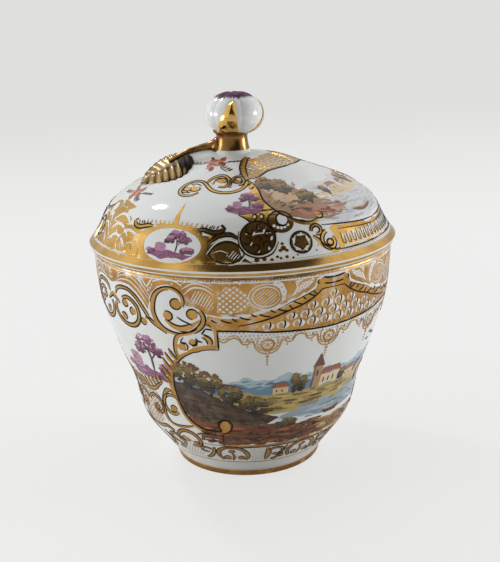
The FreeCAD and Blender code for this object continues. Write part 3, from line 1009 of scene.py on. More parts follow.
class Hand:
    """The gilder's hand on one piece: gold grounds, places left white in them, gold strokes and
    pen lines. It repeats each touch on the far side, squeezed there if that is set, and as a mirror
    image about an axis; while it is plain, the mirror images have no pen lines."""

    def __init__(self, skin, axis, pen):
        self.pen = pen
        self.ground, self.white, self.gold, self.lines = (
            Layer(skin, lift) for lift in (GROUND_LIFT, RESERVE_LIFT, GOLD_LIFT, LINE_LIFT))
        self.axis = axis
        self.mirrored = True
        self.plain = False
        self.squeeze = 1

    def ways(self, path):
        """The path's copies, with 1 for those that keep their sense and -1 for mirror images."""
        mirror = [(2 * self.axis - point[0], *point[1:]) for point in path]
        for sense, near in ((1, path), (-1, mirror)) if self.mirrored else ((1, path),):
            yield sense, near
            yield sense, [(180 + FRAME_START + self.squeeze * (point[0] - FRAME_START), *point[1:])
                          for point in near]

    def scroll(self, points, edges=BOTH_EDGES, taper=(0.6, 0.6)):
        """A gold band through points with widths. Each edge is a side, left 1 or right -1, and the
        stretch of it that has a line."""
        for sense, path in self.ways(through(points)):
            self.gold.stroke(path, taper=taper)
            for side, start, end in () if self.plain and sense < 0 else edges:
                part = path[round(start * (len(path) - 1)):round(end * (len(path) - 1)) + 1]
                self.lines.stroke(part, self.pen, (0.5, 0.5), side * sense)

    def curl(self, angle, along, radius, start, sweep, shrink, width):
        """A scroll wound round a middle, its reach shrinking to a share of the radius."""
        scale = self.gold.skin.per_degree(along)
        steps = max(5, round(abs(sweep) / 30))
        points = []
        for step in range(steps + 1):
            reach = radius * (1 + (shrink - 1) * step / steps)
            turn = math.radians(start + sweep * step / steps)
            points.append((*around(angle, along, reach, turn, scale), width))
        self.scroll(points)

    def line(self, points, width=1, taper=(0.35, 0.35)):
        """A line of the pen, its width a share of the pen's own."""
        for sense, path in self.ways(through(points)):
            if not self.plain or sense > 0:
                self.lines.stroke(path, width * self.pen, taper)

    def gilt(self, points, width=0.3, taper=(0.4, 0.4)):
        """A fine stroke of gold."""
        for _, path in self.ways(through(points)):
            self.gold.stroke(path, width, taper)

    def scratch(self, points, width=0.2):
        """A stroke that lets the white glaze show through a gold ground."""
        for _, path in self.ways(through(points)):
            self.white.stroke(path, width, (0.4, 0.4), crown=0.01)

    def field(self, layer, outline):
        """A field of a layer's finish inside a closed outline."""
        for _, path in self.ways(outline):
            layer.field(path)

    def hatch(self, layer, outline, lean, gap, width):
        """Even strokes inside a closed outline."""
        for sense, path in self.ways(outline):
            layer.hatch(path, lean * sense, gap, width)

    def dots(self, outline, gap=DOT_GAP):
        """Rows of gold dots inside a closed outline."""
        for _, path in self.ways(outline):
            self.gold.dots(path, gap, DOT)

    def drops(self, layer, places, squash=1, corners=12):
        """Drops of given radius: angle, place along the wall and radius."""
        for angle, along, radius in places:
            for _, path in self.ways([(angle, along)]):
                layer.disc(*path[0], radius, squash, corners=corners)

    def ball(self, angle, along, radius, start, sweep):
        """A gold ball with a line round part of it, from a direction in degrees through a turn."""
        scale = self.gold.skin.per_degree(along)
        steps = max(6, round(abs(sweep) / 20))
        ring = []
        for step in range(steps + 1):
            turn = math.radians(start + sweep * step / steps)
            ring.append((angle + radius * BALL_LINE * math.cos(turn) / scale,
                         along + radius * BALL_LINE * BALL_SQUASH * math.sin(turn)))
        self.drops(self.gold, [(angle, along, radius)], BALL_SQUASH, 20)
        self.line(ring, 1, (0.5, 0.5))


def oval(angle, along, half_width, half_height):
    """An oval outline, its half width in degrees and its half height in millimetres."""
    turns = (2 * math.pi * corner / OVAL_CORNERS for corner in range(OVAL_CORNERS))
    return [(angle + half_width * math.cos(turn), along + half_height * math.sin(turn))
            for turn in turns]


hand = Hand(cup_skin, CUP_AXIS, CUP_PEN)

# The frame round the picture, with a ball where it turns to the base line, and gilt leaf work on
# its shoulder.
hand.lines.lift = OVER_PAINT + 0.015
hand.line([
    (-10, 47.4), (-12.9, 47.4), (-16, 47.1), (-18.6, 46.4), (-20.8, 46), (-25, 44.2), (-27.9, 42.2),
    (-30.2, 40.1), (-31.6, 38.2), (-32.6, 36), (-33.6, 33.5), (-33.9, 30.6), (-33.6, 28.5),
    (-32.4, 26), (-30.2, 23.9), (-26.8, 22.1), (-22.8, 20.9), (-19, 20.6), (-15.5, 20.7),
    (-13.2, 20.9), (-14.3, 22.2), (-13.8, 23.5), (-12.2, 24.2), (-10.4, 24.3), (-8.4, 23.7),
    (-7.6, 22.5), (-8.4, 21.1), (-10.4, 20.1), (-12.6, 19.6), (-12.9, 17.6), (-12.9, 15.2)], 1.1)
hand.lines.lift = LINE_LIFT
hand.scroll([
    (-20.8, 46.5, 1.1), (-25.2, 44.9, 1.4), (-28.6, 42.7, 1.5), (-31.4, 40.4, 1.9),
    (-33.2, 38, 2.1), (-34.6, 35.6, 2), (-35.3, 33, 1.7), (-35.2, 30.6, 1.3), (-34.6, 28.2, 1),
    (-33.3, 25.6, 0.9), (-30.9, 23.3, 0.9), (-27.2, 21.5, 0.9), (-22.9, 20.2, 1), (-19, 19.9, 1.1),
    (-15.3, 20.1, 1.2), (-13.9, 18.2, 1.3), (-13.9, 15.2, 1.3)], BARE)
hand.gold.lift = OVER_PAINT
hand.field(hand.gold, [
    (-14, 22), (-13.2, 23.3), (-11.6, 23.9), (-9.8, 23.8), (-8.6, 22.6), (-9, 21.2), (-10.8, 20.4),
    (-12.6, 20.2), (-13.6, 20.9)])
hand.gold.lift = GOLD_LIFT
hand.scroll([
    (-13.4, 14.9, 1.2), (-6, 14.9, 1.2), (4, 14.9, 1.1), (14, 14.9, 1.1), (24, 14.9, 1.1),
    (33, 14.9, 1.1)], RIGHT_EDGE, (1, 1))
for angle, along, reach in (
        (-29.4, 44.6, 3.4), (-31.6, 43, 3.6), (-33.6, 41, 3.8), (-35.2, 38.6, 3.6),
        (-36.4, 36, 3.2)):
    hand.scroll([(angle + 1.4, along - 1.6, 0.5), (angle - 0.4, along - 0.2, 1.2),
                 (angle - 0.45 * reach, along + 0.55 * reach, 0.3)], RIGHT_EDGE)

# The border line over the picture, the corner and the feathered strap that rises to a bracket.
hand.line([(-10, 47.4), (-10, 50.2), (-10, 52.9)], 1.1)
BORDER = [
    (-10.2, 52.9), (-5, 52.9), (0, 52.8), (5, 52.5), (10, 52.2), (16, 52), (22, 51.8), (28, 51.6),
    (33, 51.5)]
STRAP = [
    (-2.6, 54.3), (1.9, 54.8), (9.3, 56.1), (15.7, 57.7), (20.5, 58.8), (24.2, 60), (26.8, 61.2),
    (28.4, 62), (33.2, 62)]
hand.line(BORDER, 1.15, (1, 1))
hand.scroll([(-10.6, 47.8, 0.9), (-10.6, 50.2, 1), (-10.6, 53.2, 1.1)], BARE, (1, 1))
hand.field(hand.ground, [(-14, 54.4)] + [(angle, along + 0.1) for angle, along in BORDER] + [
    (33, 64.9), (28.2, 65), (26.4, 64.2), (25.4, 62.3), (22.6, 61.4), (18.5, 60.3), (13.9, 59.1),
    (8.4, 57.9), (3, 57), (-3.5, 56.3), (-9, 56.4), (-13, 57)])
hand.line(STRAP, 1.05)
hand.line([(26.8, 64.6), (26.2, 64), (26.9, 63.4)])
hand.line([(28.3, 65), (30.6, 64.7), (33.2, 64.6)], 1.1)
hand.line([(28.7, 63.4), (30.8, 63.2), (33.2, 63.1)])
hand.line([(25.6, 62.3), (22.6, 61.4), (18.5, 60.3), (13.9, 59.1)], 0.45)
FEATHERS = [
    (-11.8, 55.9), (-8.4, 55.9), (-4.4, 56.3), (-1.9, 56.7), (2.2, 57.4), (5.1, 57.2), (8.9, 58.2),
    (11.5, 58.3), (15.5, 59), (17.4, 59.8), (20.6, 60.8), (22.7, 61.4), (24.6, 61.8)]
for number, (angle, along) in enumerate(FEATHERS):
    reach = (2, 4)[number % 2] * (1 if number < 8 else 0.7)
    hand.line([
        (angle, along), (angle + reach * 0.5, along - 0.55), (angle + reach, along - 0.75)], 0.95,
        (1, 0.3))

# The scale ground between strap and border: white scales on gold, each with a gold drop in its
# middle and a stroke of the pen down the drop's right side.
hand.mirrored = False
for row in range(4):
    along = 53.9 + 2.15 * row
    for column in range(14):
        angle = CUP_AXIS + 5.6 * (column - 6.5 + 0.5 * (row % 2)) + random.uniform(-0.25, 0.25)
        room = between(STRAP, CUP_AXIS - abs(angle - CUP_AXIS)) - along
        if angle < 2 or angle > 2 * CUP_AXIS - 2 or room < 1.3:
            continue
        small = min(1, 0.35 + room / 3.6)
        hand.drops(hand.white, [(angle + 0.2, along, 1.8 * small)], 0.62, 16)
        hand.drops(hand.gold, [(angle - 0.5, along - 0.1, 0.66 * small)], 1.5)
        hand.line([
            (angle + 0.7, along + 1.2 * small), (angle + 1.1, along + 0.3),
            (angle + 0.4, along - small)], 1.1, (0.5, 0.3))
hand.mirrored = True

# The great scroll beside the corner, the smaller ones that link it to its neighbour, and the
# leaf work between them.
hand.scroll([
    (-22.4, 59, 1.2), (-21.9, 60.6, 1.1), (-22.8, 62.1, 1), (-24.8, 63.1, 0.9), (-27.2, 63.4, 0.8),
    (-30.2, 62.8, 0.9), (-32.8, 61.3, 1.2), (-34.3, 58.9, 1.4), (-34.6, 56.5, 1.4),
    (-33.6, 54.3, 1.4), (-31.5, 52.6, 1.2), (-28.5, 51.6, 0.9), (-25, 51.2, 0.8),
    (-21.5, 51.5, 0.8), (-18.3, 52.5, 1), (-16, 53.8, 1.2), (-14.8, 55.2, 1.2), (-14.7, 56.8, 1.1),
    (-15.8, 58.1, 1)], ((-1, 0, 0.36), (1, 0.17, 1), (-1, 0.80, 1)))
hand.ball(-24.5, 59.5, 1.5, 60, 285)
hand.ball(-18.5, 57.1, 1.45, 20, 250)
hand.ball(-28.4, 56.1, 1.35, 120, -230)
hand.scroll([
    (-29.6, 54.9, 0.8), (-27, 53.5, 1.3), (-24, 52.9, 1.5), (-21, 53.3, 1.5), (-18.4, 54.4, 1.2),
    (-15.8, 55.6, 0.8)], ((1, 0, 0.75),))
hand.line([(-24.6, 56.1), (-22.8, 55.3), (-20.8, 54.7), (-18.7, 54.2)])
hand.line([(-24.2, 52.2), (-21.3, 52.1), (-19, 52.5), (-17, 53.4)])
hand.scroll([(-14.8, 55.2, 1.2), (-12.8, 54.5, 1.4), (-10.6, 53.9, 1.4)], BARE, (1, 1))
hand.line([(-13.8, 54.7), (-12.8, 54.5), (-12, 54)])
hand.line([(-14.3, 53.4), (-13, 53.3), (-11.6, 53.1)])
hand.line([(-14.2, 53.4), (-15, 52.6), (-15.8, 51.9)])
hand.line([(-15.8, 51.9), (-13.4, 51.3), (-12.2, 50.2), (-12, 48.9)])
hand.line([(-16, 51), (-14.5, 50.3), (-13.8, 48.9)])
hand.scroll([(-15.2, 51.2, 1), (-13.2, 50.2, 1.1), (-12.4, 48.3, 1)], BARE)
hand.scroll([
    (-11.2, 48.2, 1.3), (-14, 48, 1.4), (-17, 47.6, 1.5), (-20, 46.9, 1.5), (-22.4, 45.8, 1.4)],
    BARE, (1, 1))
hand.line([(-18.4, 50.6), (-17.4, 49.7), (-15.8, 49.6)])
hand.line([(-17.8, 49.7), (-18.4, 48.5), (-20.2, 48.1)])
hand.ball(-19.8, 49.4, 1, 40, -200)
hand.line([
    (-23.1, 50.5), (-24.2, 49.6), (-24.4, 48.8), (-22.8, 48.9), (-22, 48), (-22.2, 47),
    (-23.6, 46.5)])
hand.ball(-24.5, 47.6, 1.3, 100, -60)
hand.scroll([
    (-23, 51.2, 0.8), (-25.6, 50.4, 1.1), (-26.9, 48.4, 1), (-27.4, 46, 1), (-27, 44.2, 0.9)],
    ((-1, 0.1, 1),))

LINK = [
    (-55.2, 59, 0.9), (-53, 60.6, 0.9), (-49.6, 61.2, 0.8), (-45.8, 61, 0.8), (-42.4, 59.6, 0.9),
    (-39.8, 57.6, 0.9), (-37.6, 55.5, 0.9), (-35.4, 53.8, 1), (-32.4, 52.6, 1.2),
    (-29.4, 51.4, 1.2)]
hand.scroll(LINK, ((-1, 0, 1), (1, 0.05, 0.7)))
hand.ball(-39.6, 53.3, 1.05, 100, 200)
hand.scroll([(-38.6, 54.3, 0.6), (-36.8, 54.3, 0.7), (-34.8, 53.6, 0.6)], LEFT_EDGE)
hand.scroll([
    (-55.2, 56.4, 0.8), (-55.9, 54.6, 1), (-54.6, 52.6, 1.1), (-51.8, 51.3, 1), (-48.4, 50.9, 1),
    (-45, 51.5, 1.1), (-42.6, 53, 1.1), (-41.8, 55.2, 1), (-42.8, 57.2, 0.9), (-45.4, 58.5, 0.9),
    (-48.2, 58.8, 0.9), (-50.6, 58, 0.9)])
hand.ball(-48.9, 57.1, 1.15, 130, 210)
hand.ball(-44.9, 55.3, 1.15, 90, 180)
hand.ball(-51, 53.1, 1.15, 150, -210)
hand.scroll([(-52.4, 56.6, 0.7), (-54.6, 57.6, 1), (-57, 58.6, 1.3)], LEFT_EDGE)

# The gilt zone under the lip: a gold ground worked in trellis, shells and strapwork, with the
# white glaze showing between, and a band of short upright strokes along the lip.
hand.field(hand.ground, [
    (-57, 61.6), (-53.4, 62.2), (-49.6, 62.6), (-45.4, 62.4), (-41.8, 61), (-39, 59), (-36.8, 56.9),
    (-35.4, 59.8), (-37.2, 62.4), (-40.6, 66.6), (-57, 66.6)])
for rise, width in ((2.6, 0.34), (3.9, 0.24), (5, 0.34), (6.1, 0.2)):
    hand.scratch([(angle + 0.6 * rise, along + rise * 0.9) for angle, along, _ in LINK[:7]], width)
    hand.scratch([(-57, 60.2 + rise), (-55.4, 60.6 + rise)], width)
hand.field(hand.ground, [
    (-41, 66.6), (-37.6, 62.6), (-35.6, 60.2), (-34.4, 61.6), (-31.4, 63.6), (-27.2, 64.4),
    (-23.6, 63.4), (-21.6, 62), (-21.2, 60.2), (-20.6, 59.2), (-18, 59.2), (-14.6, 57.9),
    (-13.2, 57.3), (-9, 56.8), (-3.5, 56.8), (3, 57.5), (8.4, 58.4), (13.9, 59.6), (18.5, 60.8),
    (22.6, 62), (25, 63), (26, 64.8), (28, 65.6), (33, 65.6), (33, 66.6)])
SHELL = [
    (-19.4, 61.2), (-18, 60.2), (-15.2, 59.4), (-13, 58.4), (-10.8, 58.6), (-10.4, 60.4),
    (-11.6, 62.2), (-14.4, 63.4), (-17.6, 63.2)]
hand.hatch(hand.white, SHELL, 58, 0.7, 0.26)
for reach in (0, 1.3, 2.4):
    hand.scratch([
        (-21 - 0.6 * reach, 62.2 + reach), (-17.8, 64 + 0.8 * reach), (-13.6, 63.9 + 0.7 * reach),
        (-10.6, 62.4 + 0.9 * reach)], 0.42 - 0.08 * reach)
hand.scratch([(-33.4, 64.6), (-29.4, 65.6), (-24.4, 65.4), (-21.6, 64.2)], 0.5)
hand.scratch([(-38.4, 65.4), (-36.4, 63.2), (-34.8, 64.2), (-33, 66)], 0.45)
hand.drops(hand.white, [
    (-35.6, 62.2, 0.3), (-34.6, 62.9, 0.3), (-33.8, 63.8, 0.26), (-25.4, 64.6, 0.24)])
TRELLIS = [
    (-9.6, 58), (-5, 57.5), (0.6, 58.4), (1.6, 60.6), (0.6, 63), (-2.6, 64.6), (-6.6, 64.4),
    (-9, 62.2)]
hand.field(hand.white, TRELLIS)
for lean in (40, -40):
    hand.hatch(hand.gold, TRELLIS, lean, 1.1, 0.52)
hand.field(hand.white, [(-3.6, 65.9), (-1.4, 65), (0.8, 66)])
SHIELD = oval(7.4, 61.7, 4.7, 2.5)
for grow, width in ((1, 0.34), (1.28, 0.3)):
    hand.scratch([(7.4 + (angle - 7.4) * grow, 61.7 + (along - 61.7) * grow)
                  for angle, along in SHIELD], width)
hand.hatch(hand.white, oval(7.4, 61.7, 3.9, 2), 38, 0.62, 0.2)
hand.drops(hand.gold, [(7.4, 61.7, 0.8)], 0.7)
hand.field(hand.white, [
    (9.6, 64.8), (12, 63.6), (13, 61.6), (12.8, 60.2), (14, 60.6), (14.6, 62.6), (13.4, 64.8),
    (10.6, 65.8)])
hand.drops(hand.gold, [
    (11.6, 64.9, 0.22), (12.9, 63.9, 0.22), (13.6, 62.6, 0.22), (13.5, 61.4, 0.2)])
DOTTED = [
    (16.4, 61.2), (19, 62.2), (22, 63), (24.2, 64.2), (25.2, 65.6), (20.6, 65.8), (17.6, 65),
    (18.2, 63.4)]
hand.field(hand.white, DOTTED)
hand.dots(DOTTED, 0.7)
hand.gilt([(18.6, 63.6), (20.6, 64.8), (23.4, 65)], 0.6)
for start in (-8.6, -3.4, 2.2, 7.8):
    hand.scratch([(start, 57.2 + 0.1 * max(0, start)),
                  (start + 3.4, 57.4 + 0.16 * max(0, start + 3))], 0.26)
hand.ground.ring(65.5, 67.25)
for number in range(LIP_TICKS):
    angle = 360 / LIP_TICKS * number + random.uniform(-0.3, 0.3)
    hand.white.stroke([(angle, 65.6), (angle, 65.9 + 0.4 * random.random())], 0.22, crown=0.01)

# The lace that hangs from the border line over the picture: a dotted net, an edge with bites,
# and pendants with drops.
hand.mirrored = False
edge = []
for number in range(3):
    middle = CUP_AXIS - 25 + LACE_STEP * number
    left = [
        (middle - 12.3, 51), (middle - 10.3, 50.4), (middle - 9.4, 49.3), (middle - 7.4, 49),
        (middle - 6, 49.9), (middle - 5, 49.1), (middle - 4.5, 47.8), (middle - 2.8, 46.5),
        (middle, 45.9)]
    right = [(2 * middle - angle, along) for angle, along in left[::-1]]
    edge.extend(left + right[1:-1])
    hand.drops(hand.ground, [(middle, LACE_DROP, 1.95)], 0.95, 18)
    hand.drops(hand.white, [(middle, LACE_DROP, 1.35)], 0.95, 16)
    hand.drops(hand.gold, [
        (middle, LACE_DROP, 0.55), (middle, 45.1, 0.5), (middle, 44.1, 0.32), (middle, 43.3, 0.28),
        (middle, 42.5, 0.24)])
    hand.drops(hand.gold, [
        (middle + 1.3 * math.cos(turn), LACE_DROP + 0.9 * math.sin(turn), 0.24)
        for turn in (0.4, 1.45, 2.5, 3.55, 4.6, 5.65)])
    for side in (-1, 1):
        hand.gilt([
            (middle + side * 3.2, 51.2), (middle + side * 3.9, 49.6), (middle + side * 2.6, 47.4),
            (middle, 46.8)], 0.3)
        hand.drops(hand.gold, [
            (middle + side * 7.4, 48.3, 0.26), (middle + side * 7.4, 50.3, 0.32)])
edge = [(-10, 50.4), (-8, 49.6), (-6.6, 50.2)] + edge + [(74, 50), (76, 50.6)]
hand.gilt(edge, 0.42, (1, 1))
hand.gilt([(angle, along + 0.75) for angle, along in edge], 0.16, (1, 1))
net = edge + [(76, 52.4), (60, 51.8), (33, 51.3), (6, 52.2), (-10, 52.6)]
hand.dots(net, 0.98)
hand.mirrored = True

# The lower border: outer scrolls beside the frame, lattice between them, an arcade of scrolls on
# a dotted ground below the pictures, and a band round the foot.
hand.pen = BORDER_PEN
hand.curl(-38.6, 26.2, 4, 20, 300, 0.55, 0.9)
hand.ball(-38.2, 25.4, 1.1, 0, 300)
hand.scroll([
    (-36, 30.8, 0.5), (-38.6, 31.6, 1.1), (-41.4, 30.2, 1.2), (-44.4, 27, 1.1), (-45, 23, 1),
    (-42.6, 20.6, 0.9), (-38, 20, 0.9), (-32, 20.4, 0.9), (-28, 21, 0.7)],
    ((1, 0, 1), (-1, 0, 0.6)))
hand.curl(-50.6, 24.6, 3.6, 160, -330, 0.4, 0.9)
hand.ball(-50.8, 24.2, 1, 0, 360)
hand.scroll([
    (-57, 30.6, 1.2), (-52.6, 30, 1.1), (-48, 30.6, 1), (-44.6, 32.2, 0.9), (-41.6, 33.4, 0.6)])
hand.scroll([(-57, 17.6, 1), (-52, 17.8, 1), (-47, 18.6, 1), (-42, 17.6, 0.9)])
lattice = [
    (-57, 18.4), (-52, 18.6), (-48.6, 19.8), (-46, 23), (-46.4, 27.6), (-49, 29.6), (-57, 30)]
for lean in (45, -45):
    hand.hatch(hand.gold, lattice, lean, 1, 0.2)
for angle, along, lean in (
        (-41, 34.4, 0.9), (-43.6, 33.4, 1.1), (-46.4, 32.4, 1.2), (-49.4, 31.8, 1.2),
        (-52.6, 31.6, 1.1), (-55.6, 31.8, 0.9)):
    hand.scroll([
        (angle, along - 1, 0.9), (angle - 1.2, along + lean, 1.2),
        (angle - 0.2, along + 2.3 * lean, 0.3)], RIGHT_EDGE)
hand.curl(-32.6, 15.4, 4.2, 200, -300, 0.6, 1)
hand.ball(-35.6, 15.6, 1.2, 90, 270)
hand.ball(-29, 14.2, 1.1, -90, 270)
hand.curl(-44.6, 14.2, 3.2, -60, 320, 0.35, 0.9)
hand.curl(-20.6, 17.3, 1.9, 200, -320, 0.4, 0.7)
hand.scroll([(-26.8, 18.4, 0.6), (-23.6, 18.9, 0.9), (-19, 19, 0.7), (-16, 18.4, 0.5)], LEFT_EDGE)
for middle in (-9.5, 33):
    hand.mirrored = middle != CUP_AXIS
    hand.scroll([
        (middle - 6.6, 7.4, 0.6), (middle - 8.9, 9.6, 1), (middle - 7.6, 12.4, 1.2),
        (middle - 3, 14.1, 1.1), (middle + 2.6, 14.1, 1.1), (middle + 7.2, 12.4, 1.1),
        (middle + 9, 9.6, 1), (middle + 7.4, 7.5, 0.6)])
    hand.ball(middle - 0.6, 12.2, 0.9, 200, 250)
    hand.ball(middle - 3.4, 8.7, 1.05, 60, 250)
    hand.ball(middle + 4.4, 8.8, 0.95, 120, -250)
    hand.scroll([
        (middle - 0.4, 7.2, 0.4), (middle + 0.8, 9.2, 0.8), (middle - 0.2, 11.2, 0.5)], LEFT_EDGE)
hand.mirrored = True
hand.scroll([(10.6, 13.8, 0.5), (11.6, 10.6, 1.6), (10.4, 7.2, 0.5)])
hand.curl(16.6, 11, 2.5, 150, -300, 0.4, 0.9)
hand.ball(20.6, 8.6, 0.9, 60, 260)
hand.scroll([
    (13.6, 7.4, 0.5), (17.4, 7.8, 0.9), (21.4, 11.4, 0.9), (22.6, 13.8, 0.5)],
    ((1, 0, 1), (-1, 0, 0.6)))
hand.scroll([(-19.6, 13.9, 0.5), (-21, 11, 0.9), (-24.4, 8.6, 0.9), (-28, 7.4, 0.5)])
hand.curl(-25.6, 11.6, 1.8, 20, 300, 0.4, 0.8)
hand.curl(-47, 10.6, 2.6, 200, -320, 0.4, 0.9)
hand.scroll([(-57, 8.2, 0.9), (-53, 9.4, 1), (-50.6, 13, 0.8), (-52.4, 15.8, 0.5)])
for left, right in ((0.2, 9.2), (23.4, 24.4), (-44, -29)):
    hand.dots([(left, 7.2), (right, 7.2), (right, 13.9), (left, 13.9)])
for low, high in ((14.7, 15.3), (6, 6.6), (2.15, 2.35)):
    hand.gold.ring(low, high)
hand.ground.ring(0.2, 1.9)

hand.ground.piece("cup_gold_ground", worn_gold, "porcelain")
hand.white.piece("cup_reserves", porcelain, "porcelain")
hand.gold.piece("cup_gilding", bright_gold, "porcelain")
hand.lines.piece("cup_outlines", fine_line, "porcelain")


# The gilding of the lid: brighter and more burnished than the cup's. A plain gold rim, a border of
# discs, leaves and scrolls round two small reserves, frames for two pictures, and a chain of
# scrolls higher up. The pen lines are a thin brown-black.
LID_AXIS = 63
FRAME_AXIS = 60.5
LID_PEN = 0.46
CHAIN_PEN = 0.38
RESERVE_MIDDLE = (-27, 7.6)
DISC = (5.6, 9.9, 6.5, 4.2)
MEDALLION = (15.2, 13.7, 5.2, 3.1)
ROSETTE = (21.5, 7.9)
DISC_DEGREE = 0.66
ROSETTE_DEGREE = 0.67
lid_bright = gilding("lid_gold", (0.69, 0.42, 0.12), (0.46, 0.26, 0.065), 0.13, 1100, 0.00002)
lid_skin = Skin([(41.5, 62.85), (41.8, 63.55)] + lid_line)
hand = Hand(lid_skin, LID_AXIS, LID_PEN)

hand.mirrored = False
hand.ground.ring(0, 3.6)
hand.lines.lift = GROUND_LIFT + 0.02
hand.lines.ring(3.55, 3.68)
hand.lines.lift = LINE_LIFT
hand.gold.ring(3.95, 4.15)
hand.field(hand.ground, [
    (-45, 3), (-43.8, 7), (-41.5, 10.2), (-38, 12.2), (-33, 13.2), (-27, 13.5), (-21, 13.2),
    (-16, 12.2), (-12.5, 10.2), (-10.2, 7), (-9, 3), (-27, 2.9)])
hand.field(hand.white, oval(*RESERVE_MIDDLE, 11.9, 4.4))
hand.gilt(oval(*RESERVE_MIDDLE, 12.2, 4.6) + [(-14.8, 7.6)], 0.4, (1, 1))
hand.hatch(hand.white, [
    (-45, 11.9), (-38, 13.4), (-27, 14.4), (-16, 13.4), (-9, 11.9), (-16, 12.2), (-27, 13.1),
    (-38, 12.2)], 78, 0.55, 0.17)
hand.field(hand.ground, [
    (-44, 3.4), (-45.6, 7), (-46, 10.4), (-50, 12.8), (-56, 14.6), (-64, 15), (-72, 13.6),
    (-76, 10.6), (-78, 3.4)])
for low in (5.4, 8.2, 11):
    hand.scratch([(-49, low), (-53, low + 2), (-58, low + 2.4), (-62, low + 0.6)], 0.8)
    hand.scratch([(-64.5, low - 0.6), (-67.5, low + 1.6), (-71.5, low + 1.2)], 0.6)
hand.scroll([(-27, 13, 1.9), (-27.1, 15.6, 1.2), (-27, 18, 0.6), (-27, 20.2, 0.16)], BARE, (1, 0.4))
hand.mirrored = True
for number in range(9):
    angle, bend = -24.5 + 2.1 * number, number ** 2
    hand.gilt([(angle, 12.7 - 0.014 * bend), (angle + 0.7, 13.9 - 0.016 * bend)], 0.34)
hand.scroll([
    (-16.8, 12, 0.5), (-14.4, 11.9, 0.9), (-11.6, 11.4, 1), (-8.8, 11.4, 1), (-7, 12.3, 0.9),
    (-8.2, 13.2, 0.6)], ((-1, 0, 1), (1, 0, 0.8)))
for number in range(5):
    hand.line([(-15.6 + 1.5 * number, 12.2), (-15 + 1.5 * number, 13)], 0.76)

# The dark leaf, the great disc and the beaded medallion on the near side of each picture. On its
# other side the same work is left without pen lines.
hand.plain = True
leaf_outline = [
    (-12.4, 6), (-9.6, 8.2), (-5.6, 9), (-2, 8.2), (0.4, 6.2), (-1.6, 4.4), (-5, 3.7), (-9, 4.2)]
hand.field(hand.ground, [
    (-13.4, 3.4), (-12.6, 6.4), (-13.2, 9.6), (-12, 11.4), (-7.6, 11.4), (-3.6, 10.6), (-1.8, 8.6),
    (-0.6, 5.6), (3, 3.7), (9, 3.4)])
hand.scratch([
    (-12.9, 6), (-9.8, 8.7), (-5.6, 9.6), (-1.6, 8.7), (0.9, 6.3), (-1.4, 3.9), (-5, 3.2)], 0.4)
hand.line(leaf_outline + leaf_outline[:1], 0.88, (1, 1))
hand.hatch(hand.white, [(-6, 5.6), (-3.4, 7), (-0.6, 5.6), (-3, 4.4)], 52, 0.62, 0.24)
hand.scratch([(-11.6, 8.4), (-8.6, 9.6), (-4.6, 10), (-1.6, 9.2)], 0.34)
hand.scroll([(-12.6, 8.6, 0.6), (-8.8, 10.4, 0.9), (-4.6, 10.8, 0.9), (-1.8, 9.8, 0.5)])
hand.scratch([(-11, 6.2), (-8, 6.9), (-5.2, 6.2)], 0.2)
hand.field(hand.ground, oval(*DISC))
hand.line(oval(*DISC) + [(12.1, 9.9)], 1, (1, 1))
hand.gilt([(-1.4, 11.6), (-1.6, 9), (0.6, 6.2), (5.6, 4.9), (10.4, 5.9), (13, 8.6)], 0.5)
for turn in range(0, 360, 60):
    towards = math.radians(turn + 12)
    angle, along = DISC[0] + 3.9 * math.cos(towards), DISC[1] + 2.5 * math.sin(towards)
    hand.line([
        around(angle, along, 1.25 * (1 - 0.11 * step), towards + 0.95 * step, DISC_DEGREE)
        for step in range(7)])
    hand.scratch([(angle + 0.9, along - 1.3), (angle + 1.5, along - 0.4)], 0.65)
hand.scratch([(3.6, 10.6), (5.8, 10.9), (8.2, 10.9)], 0.3)
hand.line([(4.4, 9.4), (5.4, 10.2), (6.8, 9.6), (6, 8.8)], 1)
hand.field(hand.ground, oval(*MEDALLION))
hand.line(oval(*MEDALLION)[:20], 1, (1, 1))
hand.field(hand.white, oval(15.6, 14.2, 2.4, 1.5))
hand.line([(18.2, 13.6), (16.6, 12.5), (14, 13), (13.6, 14.9), (15.4, 15.9), (17, 15.2)], 1.2)
hand.drops(hand.white, [
    (12.2 + 1.35 * number, 12.6 - 0.7 * math.sin(number * 0.8), 0.42) for number in range(5)])
group = [
    (-1.5, 16.3), (3, 16.9), (9, 17.4), (12.6, 17.4), (10.4, 15.4), (10, 13.6), (6, 13.9),
    (3, 13.5), (2.2, 14.8)]
hand.field(hand.ground, group)
hand.line([(-1.5, 16.3), (3, 16.9), (9, 17.4), (13.2, 17.5)], 1.1)
hand.line([(-1.2, 16.1), (1.2, 15.2), (3.2, 13.9), (2, 14.9)], 0.88)
for angle in (4, 6.8):
    hand.line([
        (angle, 13.8), (angle + 1.2, 14.6), (angle + 2.2, 15.8), (angle + 0.8, 16.4),
        (angle, 15.4)], 0.94)
    hand.drops(hand.white, [(angle + 1.1, 15.4, 0.3)])

